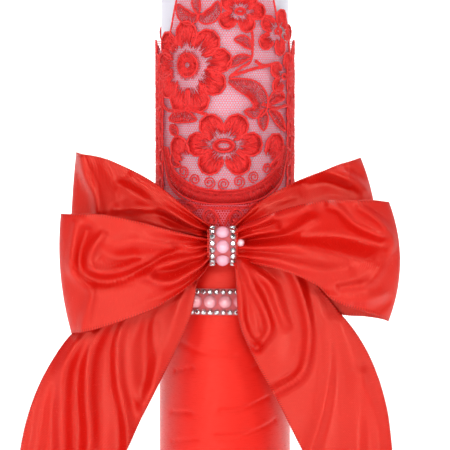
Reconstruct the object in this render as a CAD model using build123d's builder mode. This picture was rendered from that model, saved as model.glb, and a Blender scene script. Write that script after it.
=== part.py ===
"""Unity candle: a wax pillar dressed with a satin sleeve, corded lace, a pearl trim and a pinned bow.

Frame: millimetres, +Z up, the origin at the centre of the pillar's foot and -Y towards the front,
where the bow is. The bow and its pin are drawn off the front along -Y.
"""

import os
from math import cos, floor, pi, radians, sin

from build123d import *

# ---------------------------------------------------------------- driving sizes
# Pillar, wick and sustainer
pillar_diameter = 56.0
pillar_height = 250.0
foot_chamfer = 0.8
rim_fillet = 2.5
wick_diameter = 2.0
wick_standing = 10.0  # bare wick above the wax
wick_tip_fillet = 0.4
wick_clearance = 0.05
sustainer_diameter = 20.0
sustainer_sheet = 0.4
sustainer_neck_height = 6.0
sustainer_neck_wall = 0.35

# Satin sleeve, held by an adhesive strip at the back
tape_width = 18.0
tape_thickness = 0.2
sleeve_thickness = 1.1
sleeve_foot_gap = 1.0  # the wax stands this far below the satin
sleeve_above_knot = 19.0

# Corded lace over the top of the sleeve
layer_gap = 0.1  # between one wrapped layer and the next
net_thickness = 0.35
cord_thickness = 0.9
lace_above_knot = 2.0  # the lower edge of the net
lace_crest = 111.0  # the upper edge above the knot, at the front and back
lace_dip = 20.0  # how far the upper edge drops at the sides
border_above_knot = 18.5
border_width = 6.5
border_rise = 15.0  # how far the arched border climbs to its ends
border_half_span = 27.0

# Pearl trim, round the sleeve and round the knot
strip_thickness = 0.5
strip_margin = 0.05  # strip beyond the outer cups
pearl_diameter = 5.8
pearl_gap = 0.6
stone_diameter = 2.3
stone_gap = 0.18  # between cups
stone_clearance = 0.03
cup_wall = 0.12
cup_height = 1.0
row_gap = 0.2  # between the pearls and the cups beside them
band_below_knot = 24.9

# Bow
knot_offset = -1.0  # the knot sits a little left of the pillar's axis
knot_height = 117.0  # above the foot
knot_radius = 7.5  # round front
knot_straight = 3.5  # straight stretch behind it
bow_gap = 0.4  # between the bow and the lace behind it
core_gap = 0.1
thread_diameter = 0.8
ribbon_width = 50.0
ply = 0.8
root_radius = 1.6  # the loops' inner ends, seen from above
front_tip_radius = 9.5
back_tip_radius = 8.5
front_tip_advance = 5.5  # the front loops' tips stand this far before their roots
back_tip_retreat = 9.5

# Pearl-headed pin
pin_diameter = 0.6
pin_length = 38.0
pin_point = 2.4
pin_clearance = 0.05
pin_pearl_diameter = 3.2
pin_beside_trim = 0.3
pin_above_knot = 1.5

# ---------------------------------------------------------------- worked-out sizes
pillar_r = pillar_diameter / 2
wick_bore_r = wick_diameter / 2 + wick_clearance
sustainer_neck_r = wick_bore_r + sustainer_neck_wall
sleeve_in_r = pillar_r + tape_thickness
sleeve_out_r = sleeve_in_r + sleeve_thickness
sleeve_height = knot_height + sleeve_above_knot - sleeve_foot_gap
net_in_r = sleeve_out_r + layer_gap
net_out_r = net_in_r + net_thickness
cord_out_r = net_out_r + cord_thickness
band_strip_r = sleeve_out_r + layer_gap + strip_thickness
band_height = knot_height - band_below_knot

pearl_pitch = pearl_diameter + pearl_gap
stone_r = stone_diameter / 2
pocket_r = stone_r + stone_clearance
cup_r = pocket_r + cup_wall
stone_pitch = 2 * cup_r + stone_gap
row_offset = pearl_diameter / 2 + row_gap + cup_r
trim_width = 2 * (row_offset + cup_r + strip_margin)

knot_back_y = -(cord_out_r + bow_gap)
knot_axis_y = knot_back_y - knot_straight
core_width = trim_width + 2 * core_gap
root_start = core_width / 2 + core_gap
back_root_y = knot_back_y - root_radius - core_gap
front_root_y = back_root_y - 2 * root_radius - ply - 4 * core_gap
tail_y = (front_root_y + back_root_y) / 2  # the tails leave the knot between the loops

pin_x = knot_offset + (trim_width + pin_pearl_diameter) / 2 + pin_beside_trim
pin_head_y = front_root_y - root_radius - core_gap - pin_pearl_diameter / 2

# ---------------------------------------------------------------- planes
# The pillar seen from the front, from the knot's height
pillar_front = Plane((0, 0, knot_height), x_dir=(1, 0, 0), z_dir=(0, -1, 0))
# The bow seen from the front and from above, both from the middle of the knot
bow_front = Plane((knot_offset, 0, knot_height), x_dir=(1, 0, 0), z_dir=(0, -1, 0))
bow_plan = Plane((knot_offset, 0, knot_height))
# The knot's section, seen along X, from the centre of its round front
knot_section_plane = Plane((knot_offset, knot_axis_y, knot_height), x_dir=(0, 1, 0), z_dir=(1, 0, 0))
# The pin's axis, from the middle of its head, facing forward
pin_mouth = Plane(
    (pin_x, pin_head_y, knot_height + pin_above_knot), x_dir=(1, 0, 0), z_dir=(0, -1, 0)
)
ON_FLOOR = (Align.CENTER, Align.CENTER, Align.MIN)


def outward_plane(angle, radius, height):
    """The plane that faces away from the pillar, an angle in degrees to the right of the front."""
    right = (cos(radians(angle)), sin(radians(angle)), 0)
    outward = (sin(radians(angle)), -cos(radians(angle)), 0)
    return Plane((radius * outward[0], radius * outward[1], height), x_dir=right, z_dir=outward)


def band_seats(pitch, rise):
    """Seats spaced evenly round the sleeve's trim, about a pitch apart."""
    count = floor(2 * pi * band_strip_r / pitch)
    return [outward_plane(360 * i / count, band_strip_r, band_height + rise) for i in range(count)]


def knot_seats(pitch, beside, count):
    """Seats a pitch apart over the knot's round front, centred on its foremost line."""
    seats = []
    for i in range(count):
        tilt = (i - (count - 1) / 2) * pitch / knot_radius
        outward = (0, -cos(tilt), sin(tilt))
        seat = (
            knot_offset + beside,
            knot_axis_y + knot_radius * outward[1],
            knot_height + knot_radius * outward[2],
        )
        seats.append(Plane(seat, x_dir=(1, 0, 0), z_dir=outward))
    return seats


def save(builder, name):
    """Labels a finished sub-part and writes it under its node's name."""
    builder.part.label = name
    export_step(builder.part, f"parts/{name}.step")


os.makedirs("parts", exist_ok=True)

# ---------------------------------------------------------------- pillar, wick and sustainer
with BuildPart() as pillar_wax:
    Cylinder(pillar_r, pillar_height, align=ON_FLOOR)
    fillet(pillar_wax.edges().group_by(Axis.Z)[-1], rim_fillet)
    chamfer(pillar_wax.edges().group_by(Axis.Z)[0], foot_chamfer)
    with BuildSketch(Plane.XY):
        Circle(sustainer_diameter / 2 + wick_clearance)
    extrude(amount=sustainer_sheet + wick_clearance, mode=Mode.SUBTRACT)
    with BuildSketch(Plane.XY):
        Circle(sustainer_neck_r + wick_clearance)
    extrude(amount=sustainer_neck_height + wick_clearance, mode=Mode.SUBTRACT)
    with BuildSketch(Plane.XY):
        Circle(wick_bore_r)
    extrude(amount=pillar_height, mode=Mode.SUBTRACT)
    with Locations(pin_mouth):
        Hole(pin_diameter / 2 + pin_clearance, pin_length + pin_clearance)
save(pillar_wax, "pillar_wax")

with BuildPart() as wick:
    with BuildSketch(Plane.XY.offset(sustainer_sheet)):
        Circle(wick_diameter / 2)
    extrude(amount=pillar_height + wick_standing - sustainer_sheet)
    fillet(wick.edges().group_by(Axis.Z)[-1], wick_tip_fillet)
save(wick, "wick")

# A disc with a crimped neck, flush with the pillar's foot
with BuildPart() as wick_sustainer:
    Cylinder(sustainer_diameter / 2, sustainer_sheet, align=ON_FLOOR)
    Cylinder(sustainer_neck_r, sustainer_neck_height, align=ON_FLOOR)
    with BuildSketch(Plane.XY.offset(sustainer_sheet)):
        Circle(wick_bore_r)
    extrude(amount=sustainer_neck_height, mode=Mode.SUBTRACT)
save(wick_sustainer, "wick_sustainer")

# ---------------------------------------------------------------- satin sleeve
with BuildPart() as sleeve_tape:
    with BuildSketch(Plane.XY.offset(sleeve_foot_gap)):
        with BuildSketch(mode=Mode.PRIVATE) as tape_reach:
            Rectangle(tape_width, sleeve_in_r, align=(Align.CENTER, Align.MIN))
        Circle(sleeve_in_r)
        Circle(pillar_r, mode=Mode.SUBTRACT)
        add(tape_reach.sketch, mode=Mode.INTERSECT)
    extrude(amount=sleeve_height)
save(sleeve_tape, "sleeve_tape")

with BuildPart() as satin_sleeve:
    with BuildSketch(Plane.XY.offset(sleeve_foot_gap)):
        Circle(sleeve_out_r)
        Circle(sleeve_in_r, mode=Mode.SUBTRACT)
    extrude(amount=sleeve_height)
    with Locations(pin_mouth):
        Hole(pin_diameter / 2 + pin_clearance, pin_length)
save(satin_sleeve, "satin_sleeve")

# ---------------------------------------------------------------- lace
# The net's upper edge is high at the front and back, and dips at both sides
with BuildPart() as lace_net:
    with BuildSketch(pillar_front):
        with BuildLine():
            left_dip = (-net_out_r, lace_crest - lace_dip)
            right_dip = (net_out_r, lace_crest - lace_dip)
            Bezier(left_dip, (0, lace_crest + lace_dip), right_dip)
            Polyline(
                left_dip,
                (-net_out_r, lace_above_knot),
                (net_out_r, lace_above_knot),
                right_dip,
            )
        make_face()
    extrude(amount=cord_out_r, both=True)
    Cylinder(net_out_r, pillar_height, align=ON_FLOOR, mode=Mode.INTERSECT)
    Cylinder(net_in_r, pillar_height, align=ON_FLOOR, mode=Mode.SUBTRACT)
    with Locations(pin_mouth):
        Hole(pin_diameter / 2 + pin_clearance, pin_length)
save(lace_net, "lace_net")

# An arched band of satin stitch at the front, and the same at the back
with BuildPart() as lace_border:
    with BuildSketch(pillar_front):
        with BuildLine():
            low_end = border_above_knot + border_rise
            high_end = low_end + border_width
            ThreePointArc(
                (-border_half_span, low_end), (0, border_above_knot), (border_half_span, low_end)
            )
            ThreePointArc(
                (-border_half_span, high_end),
                (0, border_above_knot + border_width),
                (border_half_span, high_end),
            )
            Line((-border_half_span, low_end), (-border_half_span, high_end))
            Line((border_half_span, low_end), (border_half_span, high_end))
        make_face()
    extrude(amount=cord_out_r, both=True)
    Cylinder(cord_out_r, pillar_height, align=ON_FLOOR, mode=Mode.INTERSECT)
    Cylinder(net_out_r, pillar_height, align=ON_FLOOR, mode=Mode.SUBTRACT)
save(lace_border, "lace_border")

# Flowers: degrees right of the front, height above the knot, petals, petal radius, radius of their ring
flowers = [
    (0, 42.5, 6, 5.2, 8.8),
    (-33, 77.0, 8, 5.4, 11.0),
    (11, 99.5, 5, 3.8, 6.0),
    (51, 91.5, 5, 3.4, 5.2),
    (50, 73.5, 5, 2.4, 3.4),
]
with BuildPart() as lace_flowers:
    for angle, height, petals, petal_radius, ring_radius in flowers:
        for turn in (0, 180):
            with BuildSketch(outward_plane(angle + turn, 0, knot_height + height)):
                Circle(ring_radius)
                with PolarLocations(ring_radius, petals):
                    Circle(petal_radius)
            extrude(amount=cord_out_r)
    Cylinder(cord_out_r, pillar_height, align=ON_FLOOR, mode=Mode.INTERSECT)
    Cylinder(net_out_r, pillar_height, align=ON_FLOOR, mode=Mode.SUBTRACT)
save(lace_flowers, "lace_flowers")

# Leaves and stems: degrees right of the front, height above the knot, length, width, lean in degrees
leaves = [
    (16, 65.0, 17.0, 5.0, 50),
    (34, 58.0, 13.0, 5.0, 20),
    (18, 81.0, 15.0, 4.0, -35),
    (-50, 53.0, 13.0, 6.0, -20),
    (62, 53.0, 11.0, 4.5, -25),
    (-25, 99.0, 15.0, 4.5, 80),
    (-84, 58.0, 22.0, 5.0, -5),
    (84, 76.0, 18.0, 5.0, 5),
]
with BuildPart() as lace_leaves:
    for angle, height, length, width, lean in leaves:
        for turn in (0, 180):
            with BuildSketch(outward_plane(angle + turn, 0, knot_height + height)):
                SlotOverall(length, width, rotation=90 - lean)
            extrude(amount=cord_out_r)
    Cylinder(cord_out_r, pillar_height, align=ON_FLOOR, mode=Mode.INTERSECT)
    Cylinder(net_out_r, pillar_height, align=ON_FLOOR, mode=Mode.SUBTRACT)
save(lace_leaves, "lace_leaves")

# ---------------------------------------------------------------- pearl trim
# One stone: table, crown, girdle and pointed pavilion, standing over its seat
with BuildPart() as stone:
    with BuildSketch(Plane.XZ):
        with BuildLine():
            Polyline(
                (0, 0.3 * cup_height),
                (stone_r, cup_height),
                (0.6 * stone_r, 1.5 * cup_height),
                (0, 1.5 * cup_height),
                close=True,
            )
        make_face()
    revolve(axis=Axis.Z)

# One cup, with a pocket that follows the stone's pavilion
with BuildPart() as cup:
    with BuildSketch(Plane.XZ):
        with BuildLine():
            Polyline(
                (0, 0),
                (cup_r, 0),
                (cup_r, cup_height),
                (pocket_r, cup_height - stone_clearance),
                (0, 0.3 * cup_height - 2 * stone_clearance),
                close=True,
            )
        make_face()
    revolve(axis=Axis.Z)

# One flat-backed half pearl
with BuildPart() as half_pearl:
    Sphere(pearl_diameter / 2, arc_size1=0, align=ON_FLOOR)

with BuildPart() as band_strip:
    with BuildSketch(Plane.XY.offset(band_height - trim_width / 2)):
        Circle(band_strip_r)
        Circle(band_strip_r - strip_thickness, mode=Mode.SUBTRACT)
    extrude(amount=trim_width)
save(band_strip, "band_strip")

with BuildPart() as band_pearls:
    with Locations(*band_seats(pearl_pitch, 0)):
        add(half_pearl)
save(band_pearls, "band_pearls")

for row, rise in (("upper", row_offset), ("lower", -row_offset)):
    with BuildPart() as band_cups:
        with Locations(*band_seats(stone_pitch, rise)):
            add(cup)
    save(band_cups, f"band_{row}_cups")
    with BuildPart() as band_stones:
        with Locations(*band_seats(stone_pitch, rise)):
            add(stone)
    save(band_stones, f"band_{row}_stones")


# ---------------------------------------------------------------- knot
def knot_section(inset):
    """The knot's section, round in front and square behind, taken in all round by an inset."""
    radius = knot_radius - inset
    back = knot_straight - inset
    with BuildSketch() as section:
        with BuildLine():
            CenterArc((0, 0), radius, 90, 180)
            Polyline((0, radius), (back, radius), (back, -radius), (0, -radius))
        make_face()
    return section.sketch


core_inset = strip_thickness + core_gap
thread_inset = core_inset + core_gap

# The bow's gathered middle, waisted where the thread ties it
with BuildPart() as knot_core:
    with BuildSketch(knot_section_plane):
        add(knot_section(core_inset))
    extrude(amount=core_width / 2, both=True)
    with BuildSketch(knot_section_plane):
        add(knot_section(core_inset))
        add(knot_section(thread_inset + thread_diameter), mode=Mode.SUBTRACT)
    extrude(amount=thread_diameter, both=True, mode=Mode.SUBTRACT)
save(knot_core, "knot_core")

with BuildPart() as knot_thread:
    with BuildSketch(knot_section_plane):
        add(knot_section(thread_inset))
        add(knot_section(thread_inset + thread_diameter - core_gap), mode=Mode.SUBTRACT)
    extrude(amount=thread_diameter - core_gap, both=True)
save(knot_thread, "knot_thread")

with BuildPart() as knot_strip:
    with BuildSketch(knot_section_plane):
        add(knot_section(0))
        add(knot_section(strip_thickness), mode=Mode.SUBTRACT)
    extrude(amount=trim_width / 2, both=True)
save(knot_strip, "knot_strip")

knot_pearl_count = 1 + 2 * floor(radians(90) * knot_radius / pearl_pitch)
knot_stone_count = 2 * floor(0.5 + radians(90) * knot_radius / stone_pitch)

with BuildPart() as knot_pearls:
    with Locations(*knot_seats(pearl_pitch, 0, knot_pearl_count)):
        add(half_pearl)
save(knot_pearls, "knot_pearls")

for row, beside in (("left", -row_offset), ("right", row_offset)):
    with BuildPart() as knot_cups:
        with Locations(*knot_seats(stone_pitch, beside, knot_stone_count)):
            add(cup)
    save(knot_cups, f"knot_{row}_cups")
    with BuildPart() as knot_stones:
        with Locations(*knot_seats(stone_pitch, beside, knot_stone_count)):
            add(stone)
    save(knot_stones, f"knot_{row}_stones")

# ---------------------------------------------------------------- loops
root_top = knot_radius - core_gap  # the back loops fill the upper half of the knot's sides
# Each loop's fan seen from the front, from the middle of the knot: its root's low and high end, the
# middle of its upper edge, the top, middle and foot of its tip, and the middle of its lower edge
loops = {
    "front_left_loop": [(-4.6, 3.0), (-36, 12), (-69, 14), (-69.5, -12), (-64.5, -36.8), (-30, -27)],
    "front_right_loop": [(-4.6, 5.5), (37, 19), (71, 19), (75.8, -8), (71, -31.7), (38, -17)],
    "back_left_loop": [(-1.0, root_top), (-34, 29), (-63.6, 39.2), (-67, 14), (-63, -10), (-35, -2)],
    "back_right_loop": [(0.0, root_top), (32, 27), (60, 37), (68, 13), (65, -11), (35, -1)],
}
for name, (root, upper, tip_top, tip, tip_foot, lower) in loops.items():
    side = 1 if tip[0] > 0 else -1
    in_front = name.startswith("front")
    root_y = front_root_y if in_front else back_root_y
    tip_radius = front_tip_radius if in_front else back_tip_radius
    tip_y = root_y - front_tip_advance if in_front else root_y + back_tip_retreat
    root_low = (side * root_start, root[0])
    root_high = (side * root_start, root[1])
    with BuildPart() as loop:
        with BuildSketch(bow_plan.offset(tip_foot[1] - ply)):
            with Locations((side * (root_start + root_radius), root_y)):
                Circle(root_radius)
            with Locations((tip[0] - side * tip_radius, tip_y)):
                Circle(tip_radius)
            make_hull()
            offset(amount=-ply, mode=Mode.SUBTRACT)
        extrude(amount=tip_top[1] - tip_foot[1] + 2 * ply)
        with BuildSketch(bow_front):
            with BuildLine():
                ThreePointArc(root_high, upper, tip_top)
                ThreePointArc(tip_top, tip, tip_foot)
                ThreePointArc(tip_foot, lower, root_low)
                Line(root_low, root_high)
            make_face()
        extrude(amount=pillar_diameter, mode=Mode.INTERSECT)
        with Locations(pin_mouth):
            Hole(pin_diameter / 2 + pin_clearance, pin_length)
    save(loop, f"bow_{name}")

# ---------------------------------------------------------------- tails
tail_root_low = 0.3 - knot_radius
tail_root_high = tail_root_low + 2 * ply
# The Bezier points of each tail's inner edge and the points of its outer edge, after their root, from
# the middle of the knot
tails = {
    "left_tail": (
        [(-9, -28), (-28, -62), (-46, -96)],
        [(-34, -31.2), (-61, -40.8), (-80, -63), (-90, -109)],
    ),
    "right_tail": (
        [(root_start, -35), (22, -62), (40, -98)],
        [(33, -19.0), (54, -33.0), (68.5, -62), (76, -109)],
    ),
}
for name, (inner, outer) in tails.items():
    side = 1 if inner[0][0] > 0 else -1
    root_low = (side * root_start, tail_root_low)
    root_high = (side * root_start, tail_root_high)
    with BuildPart() as tail:
        with BuildSketch(bow_front):
            with BuildLine():
                Bezier(root_low, *inner)
                Spline(root_high, *outer)
                Line(root_low, root_high)
                Line(inner[-1], outer[-1])
            make_face()
        extrude(amount=-tail_y + ply / 2)
        with BuildSketch(bow_front):
            Rectangle(4 * ribbon_width, 6 * ribbon_width)
        extrude(amount=-tail_y - ply / 2, mode=Mode.SUBTRACT)
    save(tail, f"bow_{name}")

# ---------------------------------------------------------------- pin
with BuildPart() as pin_shaft:
    with BuildSketch(pin_mouth):
        Circle(pin_diameter / 2)
    extrude(amount=pin_point - pin_length)
    with BuildSketch(pin_mouth.offset(pin_point - pin_length)):
        Circle(pin_diameter / 2)
    with BuildSketch(pin_mouth.offset(-pin_length)):
        Circle(pin_diameter / 10)
    loft()
save(pin_shaft, "pin_shaft")

# The pearl is drilled from behind to its middle, where the shaft ends
with BuildPart() as pin_pearl:
    with Locations(pin_mouth):
        Sphere(pin_pearl_diameter / 2)
    with BuildSketch(pin_mouth):
        Circle(pin_diameter / 2)
    extrude(amount=-pin_pearl_diameter, mode=Mode.SUBTRACT)
save(pin_pearl, "pin_pearl")
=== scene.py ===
"""Unity candle dressed in satin, corded lace, a pearl trim and a pinned double bow.

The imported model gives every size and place. Shapes are worked out in millimetres, in the same frame:
+Z up, the origin at the middle of the pillar's foot and -Y towards the front.
"""

import logging
from dataclasses import dataclass, field
from enum import Enum
from typing import Any, Sequence

import bpy
import numpy as np
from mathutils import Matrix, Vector


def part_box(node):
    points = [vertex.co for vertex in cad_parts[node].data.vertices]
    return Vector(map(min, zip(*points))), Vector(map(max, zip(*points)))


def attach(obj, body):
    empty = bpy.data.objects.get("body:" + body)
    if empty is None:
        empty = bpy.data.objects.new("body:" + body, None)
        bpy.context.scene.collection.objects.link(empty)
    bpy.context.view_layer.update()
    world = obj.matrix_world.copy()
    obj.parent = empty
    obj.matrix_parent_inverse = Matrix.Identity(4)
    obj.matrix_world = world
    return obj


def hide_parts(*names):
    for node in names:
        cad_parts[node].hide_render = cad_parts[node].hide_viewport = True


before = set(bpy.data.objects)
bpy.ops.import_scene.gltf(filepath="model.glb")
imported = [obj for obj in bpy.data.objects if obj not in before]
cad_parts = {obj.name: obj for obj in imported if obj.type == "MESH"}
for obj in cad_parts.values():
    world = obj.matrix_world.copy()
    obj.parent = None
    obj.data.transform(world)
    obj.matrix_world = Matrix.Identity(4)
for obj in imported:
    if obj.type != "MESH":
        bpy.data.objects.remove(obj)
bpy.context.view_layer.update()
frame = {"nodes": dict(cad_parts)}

LOG = logging.getLogger("unity_candle")
MM = 0.001
TURN = 2 * np.pi
Array = np.ndarray
Point2 = tuple[float, float]
Colour = tuple[float, float, float]


class Body(Enum):
    """The bodies that pieces ride on."""

    CANDLE = "candle"
    BOW = "bow"
    PIN = "pin"


# ---------------------------------------------------------------- sizes from the frame
def corners(node: str) -> tuple[Array, Array]:
    """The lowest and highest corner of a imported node, in millimetres.

    Args:
        node: the node's name.

    Returns:
        Two points of three numbers.
    """
    low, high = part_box(node)
    return np.array(low) / MM, np.array(high) / MM


@dataclass(frozen=True)
class Frame:
    """Sizes that several pieces share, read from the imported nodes, in millimetres."""

    sleeve_radius: float
    sleeve_low: float
    sleeve_top: float
    net_radius: float
    lace_low: float
    lace_top: float
    knot: Array
    knot_half: Array
    band_height: float
    band_radius: float

    @classmethod
    def read(cls) -> "Frame":
        """Reads the sizes from the nodes' boxes.

        Returns:
            The sizes.
        """
        sleeve = corners("satin_sleeve")
        net = corners("lace_net")
        strip = corners("knot_strip")
        band = corners("band_strip")
        return cls(
            sleeve_radius=sleeve[1][0],
            sleeve_low=sleeve[0][2],
            sleeve_top=sleeve[1][2],
            net_radius=net[1][0],
            lace_low=net[0][2],
            lace_top=net[1][2],
            knot=(strip[0] + strip[1]) / 2,
            knot_half=(strip[1] - strip[0]) / 2,
            band_height=(band[0][2] + band[1][2]) / 2,
            band_radius=band[1][0],
        )


# ---------------------------------------------------------------- curves and surfaces
def smooth_path(points: Sequence[Sequence[float]], count: int) -> Array:
    """A smooth line through a few points, evenly spaced along its length.

    Each stretch is a Catmull-Rom cubic: the curve that passes through both of its ends with the
    slope of the line between the neighbours of each end.

    Args:
        points: two or more points, of two or three numbers.
        count: how many points to give back.

    Returns:
        An array of count points.
    """
    knots = np.array(points, float)
    padded = np.vstack([2 * knots[0] - knots[1], knots, 2 * knots[-1] - knots[-2]])
    stretches = len(knots) - 1
    at = np.linspace(0, stretches, stretches * 24 + 1)
    which = np.minimum(at.astype(int), stretches - 1)
    t = (at - which)[:, None]
    a, b, c, d = (padded[which + k] for k in range(4))
    line = 0.5 * (
        2 * b + (c - a) * t + (2 * a - 5 * b + 4 * c - d) * t**2 + (3 * b - a - 3 * c + d) * t**3
    )
    return evenly(line, count)


def evenly(line: Array, count: int) -> Array:
    """The same line with points evenly spaced along its length.

    Args:
        line: its points.
        count: how many points to give back.

    Returns:
        An array of count points.
    """
    along = np.concatenate([[0], np.cumsum(np.linalg.norm(np.diff(line, axis=0), axis=1))])
    at = np.linspace(0, along[-1], count)
    return np.stack([np.interp(at, along, line[:, k]) for k in range(line.shape[1])], axis=1)


def unit(vectors: Array) -> Array:
    """The same vectors, one long."""
    return vectors / np.maximum(np.linalg.norm(vectors, axis=-1, keepdims=True), 1e-9)


def closed(ring: Array) -> Array:
    """A ring of points with its first point again at its end."""
    return np.vstack([ring, ring[:1]])


def round_pillar(radius: Array, angle: Array, level: Array) -> Array:
    """Points at a radius, an angle from the front, and a level: radius times sine, less cosine."""
    return np.stack([radius * np.sin(angle), -radius * np.cos(angle), level], -1)


def length_of(line: Array) -> float:
    """The length of a line of points."""
    return float(np.linalg.norm(np.diff(line, axis=0), axis=1).sum())


def ease(t: Array | float) -> Array | float:
    """Goes smoothly from 0 to 1 as t does: t squared times three less twice t."""
    t = np.clip(t, 0, 1)
    return t * t * (3 - 2 * t)


@dataclass
class Pile:
    """Points and faces of one mesh, gathered from several shapes, in millimetres."""

    points: list[Array] = field(default_factory=list)
    faces: list[Array] = field(default_factory=list)
    texture: list[Array] = field(default_factory=list)
    count: int = 0

    def add(self, points: Array, faces: Sequence[Array], texture: Array | None = None) -> None:
        """Adds one shape.

        Args:
            points: its points, n by 3.
            faces: arrays of corner indices, each array with faces of one number of corners.
            texture: each point's place on the material, n by 2, in millimetres.
        """
        points = points.reshape(-1, 3)
        if texture is None:
            texture = points[:, [0, 2]]
        self.points.append(points)
        self.texture.append(texture.reshape(-1, 2))
        self.faces += [np.asarray(f, int) + self.count for f in faces]
        self.count += len(points)

    @classmethod
    def of(
        cls,
        name: str,
        points: Array,
        faces: Sequence[Array],
        texture: Array | None = None,
        smooth: bool = True,
    ) -> bpy.types.Object:
        """Makes a piece of one shape.

        Args:
            name: the new object's name.
            points: its points.
            faces: its faces, as add takes them.
            texture: each point's place on the material.
            smooth: whether its faces are shaded smooth.

        Returns:
            The new object.
        """
        pile = cls()
        pile.add(points, faces, texture)
        return pile.piece(name, smooth)

    def piece(self, name: str, smooth: bool = True) -> bpy.types.Object:
        """Makes the mesh, in metres, with its texture places as the map "cloth".

        Args:
            name: the new object's name.
            smooth: whether its faces are shaded smooth.

        Returns:
            The new object, linked to the scene.
        """
        points = np.concatenate(self.points) * MM
        texture = np.concatenate(self.texture)
        corners_of = np.concatenate([f.ravel() for f in self.faces])
        sizes = np.concatenate([np.full(len(f), f.shape[1]) for f in self.faces])
        mesh = bpy.data.meshes.new(name)
        mesh.vertices.add(len(points))
        mesh.vertices.foreach_set("co", points.astype(np.float32).ravel())
        mesh.loops.add(len(corners_of))
        mesh.loops.foreach_set("vertex_index", corners_of.astype(np.int32))
        mesh.polygons.add(len(sizes))
        starts = np.concatenate([[0], np.cumsum(sizes)[:-1]])
        mesh.polygons.foreach_set("loop_start", starts.astype(np.int32))
        mesh.polygons.foreach_set("loop_total", sizes.astype(np.int32))
        mesh.polygons.foreach_set("use_smooth", np.full(len(sizes), smooth))
        layer = mesh.uv_layers.new(name="cloth")
        layer.data.foreach_set("uv", texture[corners_of].astype(np.float32).ravel())
        mesh.update(calc_edges=True)
        mesh.validate()
        made = bpy.data.objects.new(name, mesh)
        bpy.context.scene.collection.objects.link(made)
        return made


def grid_faces(rows: int, columns: int, close_rows: bool = False, close_columns: bool = False) -> Array:
    """Four-cornered faces of a grid of points, row by row.

    Args:
        rows: how many rows of points.
        columns: how many points in a row.
        close_rows: whether the last row joins the first.
        close_columns: whether each row's last point joins its first.

    Returns:
        An array of faces, n by 4.
    """
    i = np.arange(rows if close_rows else rows - 1)[:, None]
    j = np.arange(columns if close_columns else columns - 1)[None, :]
    next_i = (i + 1) % rows
    next_j = (j + 1) % columns
    quads = np.stack(
        [i * columns + j, i * columns + next_j, next_i * columns + next_j, next_i * columns + j], -1
    )
    return quads.reshape(-1, 4)


def tubes(lines: Array, out: Array, radius: Array | float, sides: int) -> tuple[Array, list[Array]]:
    """Closed round tubes along many lines at once.

    At each point of a line the ring is: the point, plus the radius times the cosine of the angle
    along the outward direction and times the sine along the line's side direction.

    Args:
        lines: m lines of n points, m by n by 3.
        out: the outward direction at each point, which broadcasts to the lines.
        radius: one radius, or one for each point and side, which broadcasts to m by n by sides.
        sides: how many faces go round.

    Returns:
        The points, and the faces as arrays.
    """
    m, n, _ = lines.shape
    ahead = unit(np.gradient(lines, axis=1))
    side = unit(np.cross(ahead, np.broadcast_to(out, lines.shape)))
    up = np.cross(side, ahead)
    angle = np.arange(sides) * TURN / sides
    radius = np.broadcast_to(radius, (m, n, sides))[..., None]
    ring = lines[:, :, None] + radius * (
        up[:, :, None] * np.cos(angle)[:, None] + side[:, :, None] * np.sin(angle)[:, None]
    )
    walls = grid_faces(n, sides, close_columns=True)
    first = np.arange(m)[:, None, None] * n * sides
    caps = np.arange(sides)
    return ring.reshape(-1, 3), [
        (walls[None] + first).reshape(-1, 4),
        (caps[::-1][None, None] + first).reshape(-1, sides),
        ((n - 1) * sides + caps[None, None] + first).reshape(-1, sides),
    ]


@dataclass(frozen=True)
class Fold:
    """One ridge or hollow in cloth, along a line in the front view from the middle of the knot.

    The height falls off to each side as a bell curve of the distance from the line, or, where it is
    sharp, as a decaying power of it.
    """

    path: tuple[Point2, ...]
    height: float
    width: float
    ends: Point2 = (1.0, 1.0)
    sharp: bool = False
    lean: float = 0.0

    def over(self, places: Array) -> Array:
        """The fold's height over places in the front view.

        Args:
            places: n by 2.

        Returns:
            n heights, in millimetres towards the front.
        """
        line = smooth_path(self.path, 48)
        gap = places[:, None] - line[None]
        near = np.argmin((gap**2).sum(-1), axis=1)
        off = np.linalg.norm(gap[np.arange(len(places)), near], axis=1)
        t = near / (len(line) - 1)
        strength = self.ends[0] * (1 - t) + self.ends[1] * t
        if self.lean:
            ahead = np.gradient(line, axis=0)[near]
            to = gap[np.arange(len(places)), near]
            side = ahead[:, 0] * to[:, 1] - ahead[:, 1] * to[:, 0]
            off = off * np.where(side * self.lean > 0, 1 + abs(self.lean), 1.0)
        shape = np.exp(-off / self.width) if self.sharp else np.exp(-((off / self.width) ** 2))
        return self.height * strength * shape


def relief(folds: Sequence[Fold], places: Array) -> Array:
    """The sum of several folds over places in the front view.

    Args:
        folds: the folds.
        places: n by 2.

    Returns:
        n heights.
    """
    total = np.zeros(len(places))
    for fold in folds:
        total += fold.over(places)
    return total


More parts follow.
